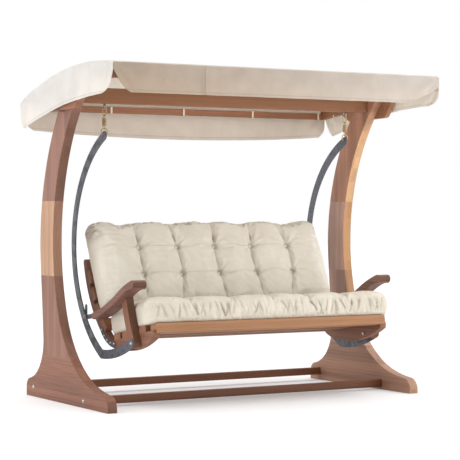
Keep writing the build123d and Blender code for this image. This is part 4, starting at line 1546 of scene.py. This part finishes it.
    def creases(self, points: Field, normals: Field) -> tuple[Field, Field]:
        """Sharp lapped creases between the buttons and thin ones across.

        Args:
            points: Places in the frame.
            normals: Their normals.

        Returns:
            How far each place goes in, and how much painted shade it gets in the creases.
        """
        along, _ = self.local(points)
        front = self.front_share(normals)
        gap = self.crease_gap(points)
        unsteady = np.clip(0.8 + 0.25 * ripple(along, self.seed + 40, 0.06, 0.2, 4), 0.3, 1.2)
        steep_left = np.exp(-np.abs(gap) / np.where(gap < 0, self.steep_width, self.easy_width))
        upright = steep_left * unsteady
        last = self.columns[-1]
        level_ends = 1 - smooth_step(np.abs(points[:, 0]), last + 0.02, last + 0.16)
        level = np.zeros_like(along)
        for number, row in enumerate(self.rows):
            wander = self.level_width * ripple(points[:, 0], self.seed + 60 + number, 0.12, 0.3, 3)
            line = np.exp(-np.abs(along - row - wander) / self.level_width)
            level = np.maximum(level, line * level_ends)
        depth = self.crease_depth * upright + self.level_depth * level
        # Painted shade: the creases' depth also sets how much they are darkened
        fold = np.clip(np.maximum(1.1 * upright**2, 0.25 * level), 0, 1)
        return depth * front, fold * front

    def tufts(self, points: Field, normals: Field) -> tuple[Field, Field]:
        """Dimples under the buttons and the wrinkles that fan out from them.

        Args:
            points: Places in the frame.
            normals: Their normals.

        Returns:
            How far each place goes in, and how much painted shade it gets in the dimples.
        """
        along, _ = self.local(points)
        front = self.front_share(normals)
        depth = np.zeros_like(along)
        dimples = np.zeros_like(along)
        for row in self.rows:
            for number, x in enumerate(self.columns):
                dx, dv = points[:, 0] - x, along - row
                reach = np.hypot(dx, dv)
                dimples = np.maximum(dimples, np.exp(-((reach / self.dimple_radius) ** 2)))
                angle = np.arctan2(dv, dx)
                phase = self.seed + 3.0 * number + 11.0 * row
                fan = np.sin(7 * angle + phase) + 0.7 * np.sin(13 * angle - 2 * phase)
                above = np.clip(dv / np.maximum(reach, 1e-6), 0, 1) * (row == max(self.rows))
                fades = (1 - smooth_step(reach, 0.05, 0.12)) + above * (1 - smooth_step(reach, 0.12, 0.23))
                shown = smooth_step(reach, 0.008, 0.03) * np.clip(fades, 0, 1)
                depth = depth + self.fan_depth * fan * shown
        # Painted shade in the dimples under the buttons
        return (depth + self.dimple_depth * dimples) * front, 0.8 * dimples * front

    def puckers(self, run: Field, out: Field, seed: int) -> Field:
        """Thin uneven grooves that slant both ways across a boxing.

        Args:
            run: Places along the boxing.
            out: Places across it.
            seed: Seed of the grooves.

        Returns:
            Depth of the grooves, from 0 to about 1.
        """
        total = np.zeros_like(run)
        pitches_and_slants = ((0.037, 0.3), (0.052, -0.28), (0.079, 0.08))
        for number, (pitch, slant) in enumerate(pitches_and_slants):
            warp = run + slant * out + 0.35 * pitch * ripple(run, seed + number, 4 * pitch, 9 * pitch, 3)
            groove = (1 - np.abs(np.sin(math.pi * warp / pitch))) ** 2.4
            where = ripple(run + 2 * slant * out, seed + 10 + number, 2.2 * pitch, 6 * pitch, 4)
            total = np.maximum(total, np.clip(0.35 + 0.65 * where, 0, 1.2) * groove)
        return total

    def gathers(self, points: Field, normals: Field) -> tuple[Field, Field]:
        """Puckers of the boxing that faces away from the crown.

        Args:
            points: Places in the frame.
            normals: Their normals.

        Returns:
            How far each place goes in, and how much painted shade it gets in the puckers and at the upper
            ends.
        """
        facing = normals @ self.out_way()
        boxing = smooth_step(facing, -0.6, -0.15) * (1 - smooth_step(facing, 0.62, 0.93))
        ends = smooth_step(np.abs(normals[:, 0]), 0.35, 0.75)
        along, out = self.local(points)
        level = self.puckers(points[:, 0], out, self.seed + 80)
        level = level * smooth_step(along, self.smooth_below, self.smooth_below + self.fade)
        level = level * (1 - smooth_step(out, self.smooth_above, self.smooth_above + 0.04))
        high = smooth_step(along, self.ends_gathered_above, self.ends_gathered_above + self.fade)
        upright = self.puckers(along, out, self.seed + 85) * high
        pucker = boxing * ((1 - ends) * level + ends * upright)
        # Painted shade in the puckers, and painted shade and wood reflection in brown on the upper end boxing
        return self.pucker_depth * pucker, np.clip(pucker + 0.45 * ends * boxing * high, 0, 1)

    def slack(self, points: Field, normals: Field) -> Field:
        """Slack wrinkles over the panels, finer and level in the end columns.

        Args:
            points: Places in the frame.
            normals: Their normals.

        Returns:
            How far each place goes in.
        """
        along, _ = self.local(points)
        x = points[:, 0]
        slanting = ripple(x + 0.6 * along, self.seed + 90, 0.05, 0.16, 5)
        loose = slanting * ripple(along, self.seed + 91, 0.08, 0.3, 3)
        fine = ripple(along + 0.05 * x, self.seed + 92, 0.022, 0.05, 5)
        end_column = smooth_step(np.abs(x), self.columns[-1], self.columns[-1] + 0.12)
        depth = self.slack_depth * loose + self.fine_depth * fine * end_column
        return depth * self.front_share(normals)

    def fill_corners(self, points: Field) -> Field:
        """Fills out the front corners, clear of the armrests' supports.

        Args:
            points: Places in the frame.

        Returns:
            The new places.
        """
        x = points[:, 0]
        at_front = smooth_step(-points[:, 1], 0.425, 0.475)
        share = at_front * smooth_step(np.abs(x), 0.72, 0.84)
        filled = points.copy()
        limit = self.most_out + self.corner_fill * at_front
        filled[:, 0] = np.clip(x + np.sign(x) * self.corner_fill * share, -limit, limit)
        return filled

    def build(self) -> bpy.types.Object:
        """Makes the cushion.

        Returns:
            The finished cover.
        """
        piece = self.blank()
        self.swell(piece)
        divide(piece)
        move_points(piece, self.fill_corners(points_of(piece)))
        points, normals = points_of(piece), normals_of(piece)
        effects = [effect(points, normals) for effect in (self.creases, self.tufts, self.gathers)]
        depth = sum(deep for deep, _ in effects) + self.slack(points, normals)
        move_points(piece, points - normals * depth[:, None])
        # Painted shade: the deepest fold mark of each place darkens the cloth
        mark_points(piece, FOLD_SHADE_MARK, np.max([fold for _, fold in effects], axis=0))
        pick(piece)
        bpy.ops.object.shade_smooth()
        piece.data.materials.append(self.finish().material())
        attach(piece, "seat")
        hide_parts(self.face.value)
        return piece

    def finish(self) -> ClothFinish:
        """The cushion's cover cloth.

        Returns:
            Its finish.
        """
        return ClothFinish(
            name=self.face.value + "_cotton",
            cloth=self.cloth,
            worn=self.worn,
            # Colour and share of the painted shade in the creases, dimples and gathers
            fold=paint(132, 118, 100),
            threads=900.0,
            relief=0.0002,
            fold_shade_share=0.75,
            sheen=0.15,
            tilt=-self.lean,
        )


@dataclass
class Buttons:
    """Covered buttons that hold the back cushion's tufts."""

    cushion: Cushion
    radius: float = 0.011
    height: float = 0.008
    reach: float = 0.02
    lift: float = 0.005
    dome: float = 0.48
    most_dimple: float = 0.03

    def build(self, cover: bpy.types.Object) -> list[bpy.types.Object]:
        """Sets a button in each tuft.

        Args:
            cover: The back cushion's cover.

        Returns:
            The buttons.
        """
        points = points_of(cover)
        along, out = self.cushion.local(points)
        made = []
        for row in self.cushion.rows:
            for x in self.cushion.columns:
                near = np.hypot(points[:, 0] - x, along - row) < self.reach / 2
                front = near & (out > np.max(out[near]) - self.most_dimple)
                base = np.min(out[front]) + self.lift
                made.append(self.button(x, row, base, len(made) + 1, cover.data.materials[0]))
        return made

    def button(
        self, x: float, along: float, out: float, number: int, material: bpy.types.Material
    ) -> bpy.types.Object:
        """Models one button as a domed disc with a drawn-in rim.

        Args:
            x: Place along X.
            along: Place along the cushion.
            out: Where its underside sits.
            number: Its number.
            material: Its cloth.

        Returns:
            The button.
        """
        lean, foot = self.cushion.lean, self.cushion.foot
        y = foot[0] + along * math.sin(lean) - out * math.cos(lean)
        z = foot[1] + along * math.cos(lean) + out * math.sin(lean)
        deselect_all()
        turn = math.pi / 2 - lean
        bpy.ops.mesh.primitive_cylinder_add(
            vertices=24, radius=self.radius, depth=self.height, location=(x, y, z), rotation=(turn, 0, 0)
        )
        piece = name_active(f"back_button_{number}")
        settle(piece)
        bevel = piece.modifiers.new("dome", "BEVEL")
        bevel.width = self.height * self.dome
        bevel.segments = 4
        apply_modifier(piece, bevel.name)
        divide(piece)
        pick(piece)
        bpy.ops.object.shade_smooth()
        piece.data.materials.append(material)
        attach(piece, "seat")
        return piece


@dataclass
class Studio:
    """White floor and backdrop, soft light and the photograph's camera."""

    eye: tuple[float, float, float] = (-5.632, -9.732, 1.226)
    look: tuple[float, float, float] = (0.501, 0.865, -0.012)
    lens_pixels: float = 1704.2
    image_pixels: float = 460.0
    sensor: float = 36.0
    floor_half: float = 40.0
    floor_glow: float = 0.2
    floor_strength: float = 1.1
    sky: float = 0.72
    sun_strength: float = 1.7
    sun_angle: float = math.radians(70)
    aim: tuple[float, float, float] = (0.0, 0.0, 0.9)
    floor_gap: float = 0.0005

    def build(self) -> None:
        """Sets the whole stage."""
        self.camera()
        self.floor()
        self.world()
        self.lamps()
        bpy.context.scene.view_settings.view_transform = "Standard"

    def camera(self) -> None:
        """Places the camera at the photograph's viewing angle."""
        data = bpy.data.cameras.new("photo_camera")
        data.sensor_width = self.sensor
        data.lens = self.lens_pixels * self.sensor / self.image_pixels
        data.clip_end = 200.0
        camera = bpy.data.objects.new("photo_camera", data)
        camera.location = self.eye
        camera.rotation_euler = Vector(self.look).to_track_quat("-Z", "Y").to_euler()
        bpy.context.scene.collection.objects.link(camera)
        bpy.context.scene.camera = camera

    def floor(self) -> None:
        """A pale floor that stays nearly white to the camera and keeps the shadow."""
        deselect_all()
        bpy.ops.mesh.primitive_plane_add(size=2 * self.floor_half, location=(0, 0, -self.floor_gap))
        floor = name_active("studio_floor")
        material, board, shader = bare_material("studio_floor")
        pale = (0.9, 0.9, 0.9, 1)
        board.fill(shader, {"Base Color": pale, "Roughness": 0.9, "Specular IOR Level": 0.0})
        glow = board.add("ShaderNodeEmission")
        glow.inputs["Strength"].default_value = self.floor_strength
        share = board.sum_of("MULTIPLY", board.seen_directly(), self.floor_glow)
        board.mix_shaders(share, shader, glow)
        floor.data.materials.append(material)

    def world(self) -> None:
        """A backdrop that is white to look at and lights softly."""
        world = bpy.data.worlds.new("studio_world")
        world.use_nodes = True
        board = NodeBoard(world.node_tree)
        back = world.node_tree.nodes["Background"]
        strength = board.spread(board.seen_directly(), 0.0, 1.0, self.sky, 1.0)
        board.fill(back, {"Color": (1, 1, 1, 1), "Strength": strength})
        bpy.context.scene.world = world

    def lamps(self) -> None:
        """A low light at the right front, one at the left end and a wide one above."""
        self.lamp("front_light", place=(3.6, -4.2, 1.6), size=3.4, power=105.0)
        self.lamp("left_light", place=(-6.0, 0.3, 1.8), size=3.0, power=85.0)
        self.sun()

    def sun(self) -> None:
        """Adds a wide light straight from above, which whitens the floor evenly."""
        data = bpy.data.lights.new("top_light", "SUN")
        data.energy = self.sun_strength
        data.angle = self.sun_angle
        light = bpy.data.objects.new("top_light", data)
        bpy.context.scene.collection.objects.link(light)

    def lamp(self, name: str, place: tuple[float, float, float], size: float, power: float) -> None:
        """Adds a square soft light that faces the seat.

        Args:
            name: Name of the light.
            place: Where it hangs.
            size: Length of its side.
            power: Its power in watts.
        """
        data = bpy.data.lights.new(name, "AREA")
        data.size = size
        data.energy = power
        light = bpy.data.objects.new(name, data)
        light.location = place
        way = Vector(self.aim) - Vector(place)
        light.rotation_euler = way.to_track_quat("-Z", "Y").to_euler()
        bpy.context.scene.collection.objects.link(light)


def seat_cushion() -> Cushion:
    """The cushion to sit on: one gathered boxing all along its front.

    Returns:
        The cushion, not built yet.
    """
    tilt = 10.5
    return Cushion(
        face=Face.SEAT,
        foot=(-0.012, 0.393),
        lean=math.radians(90 + tilt),
        rows=(),
        seed=3,
        pucker_depth=0.010,
        smooth_below=-1.0,
        smooth_above=0.135,
        ends_gathered_above=1.0,
        corner_fill=0.028,
        cloth=paint(221, 213, 198),
        worn=paint(210, 201, 185),
    )


def back_cushion() -> Cushion:
    """The cushion to lean on: two rows of tufts, gathered at its top.

    Returns:
        The cushion, not built yet.
    """
    return Cushion(
        face=Face.BACK,
        foot=(0.2183, 0.6152),
        lean=math.radians(25),
        rows=(0.135, 0.325),
        seed=7,
        pucker_depth=0.006,
        smooth_below=0.1,
        smooth_above=1.0,
        ends_gathered_above=0.36,
        corner_fill=0.0,
        cloth=paint(232, 226, 213),
        worn=paint(224, 217, 203),
    )


def main() -> None:
    """Builds the stage and every dressed piece in order."""
    logging.basicConfig(level=logging.INFO, format="%(message)s")
    Studio().build()
    FrameWood().build()
    SeatWood().build()
    Steelwork().build()
    pieces = Springs().build()
    pieces.append(Canopy().build())
    pieces += CanopyTies().build()
    pieces.append(seat_cushion().build())
    back = back_cushion()
    cover = back.build()
    pieces.append(cover)
    pieces += Buttons(back).build(cover)
    for piece in pieces:
        LOG.info("%s: %d faces", piece.name, len(piece.data.polygons))


if __name__ == "__main__":
    main()
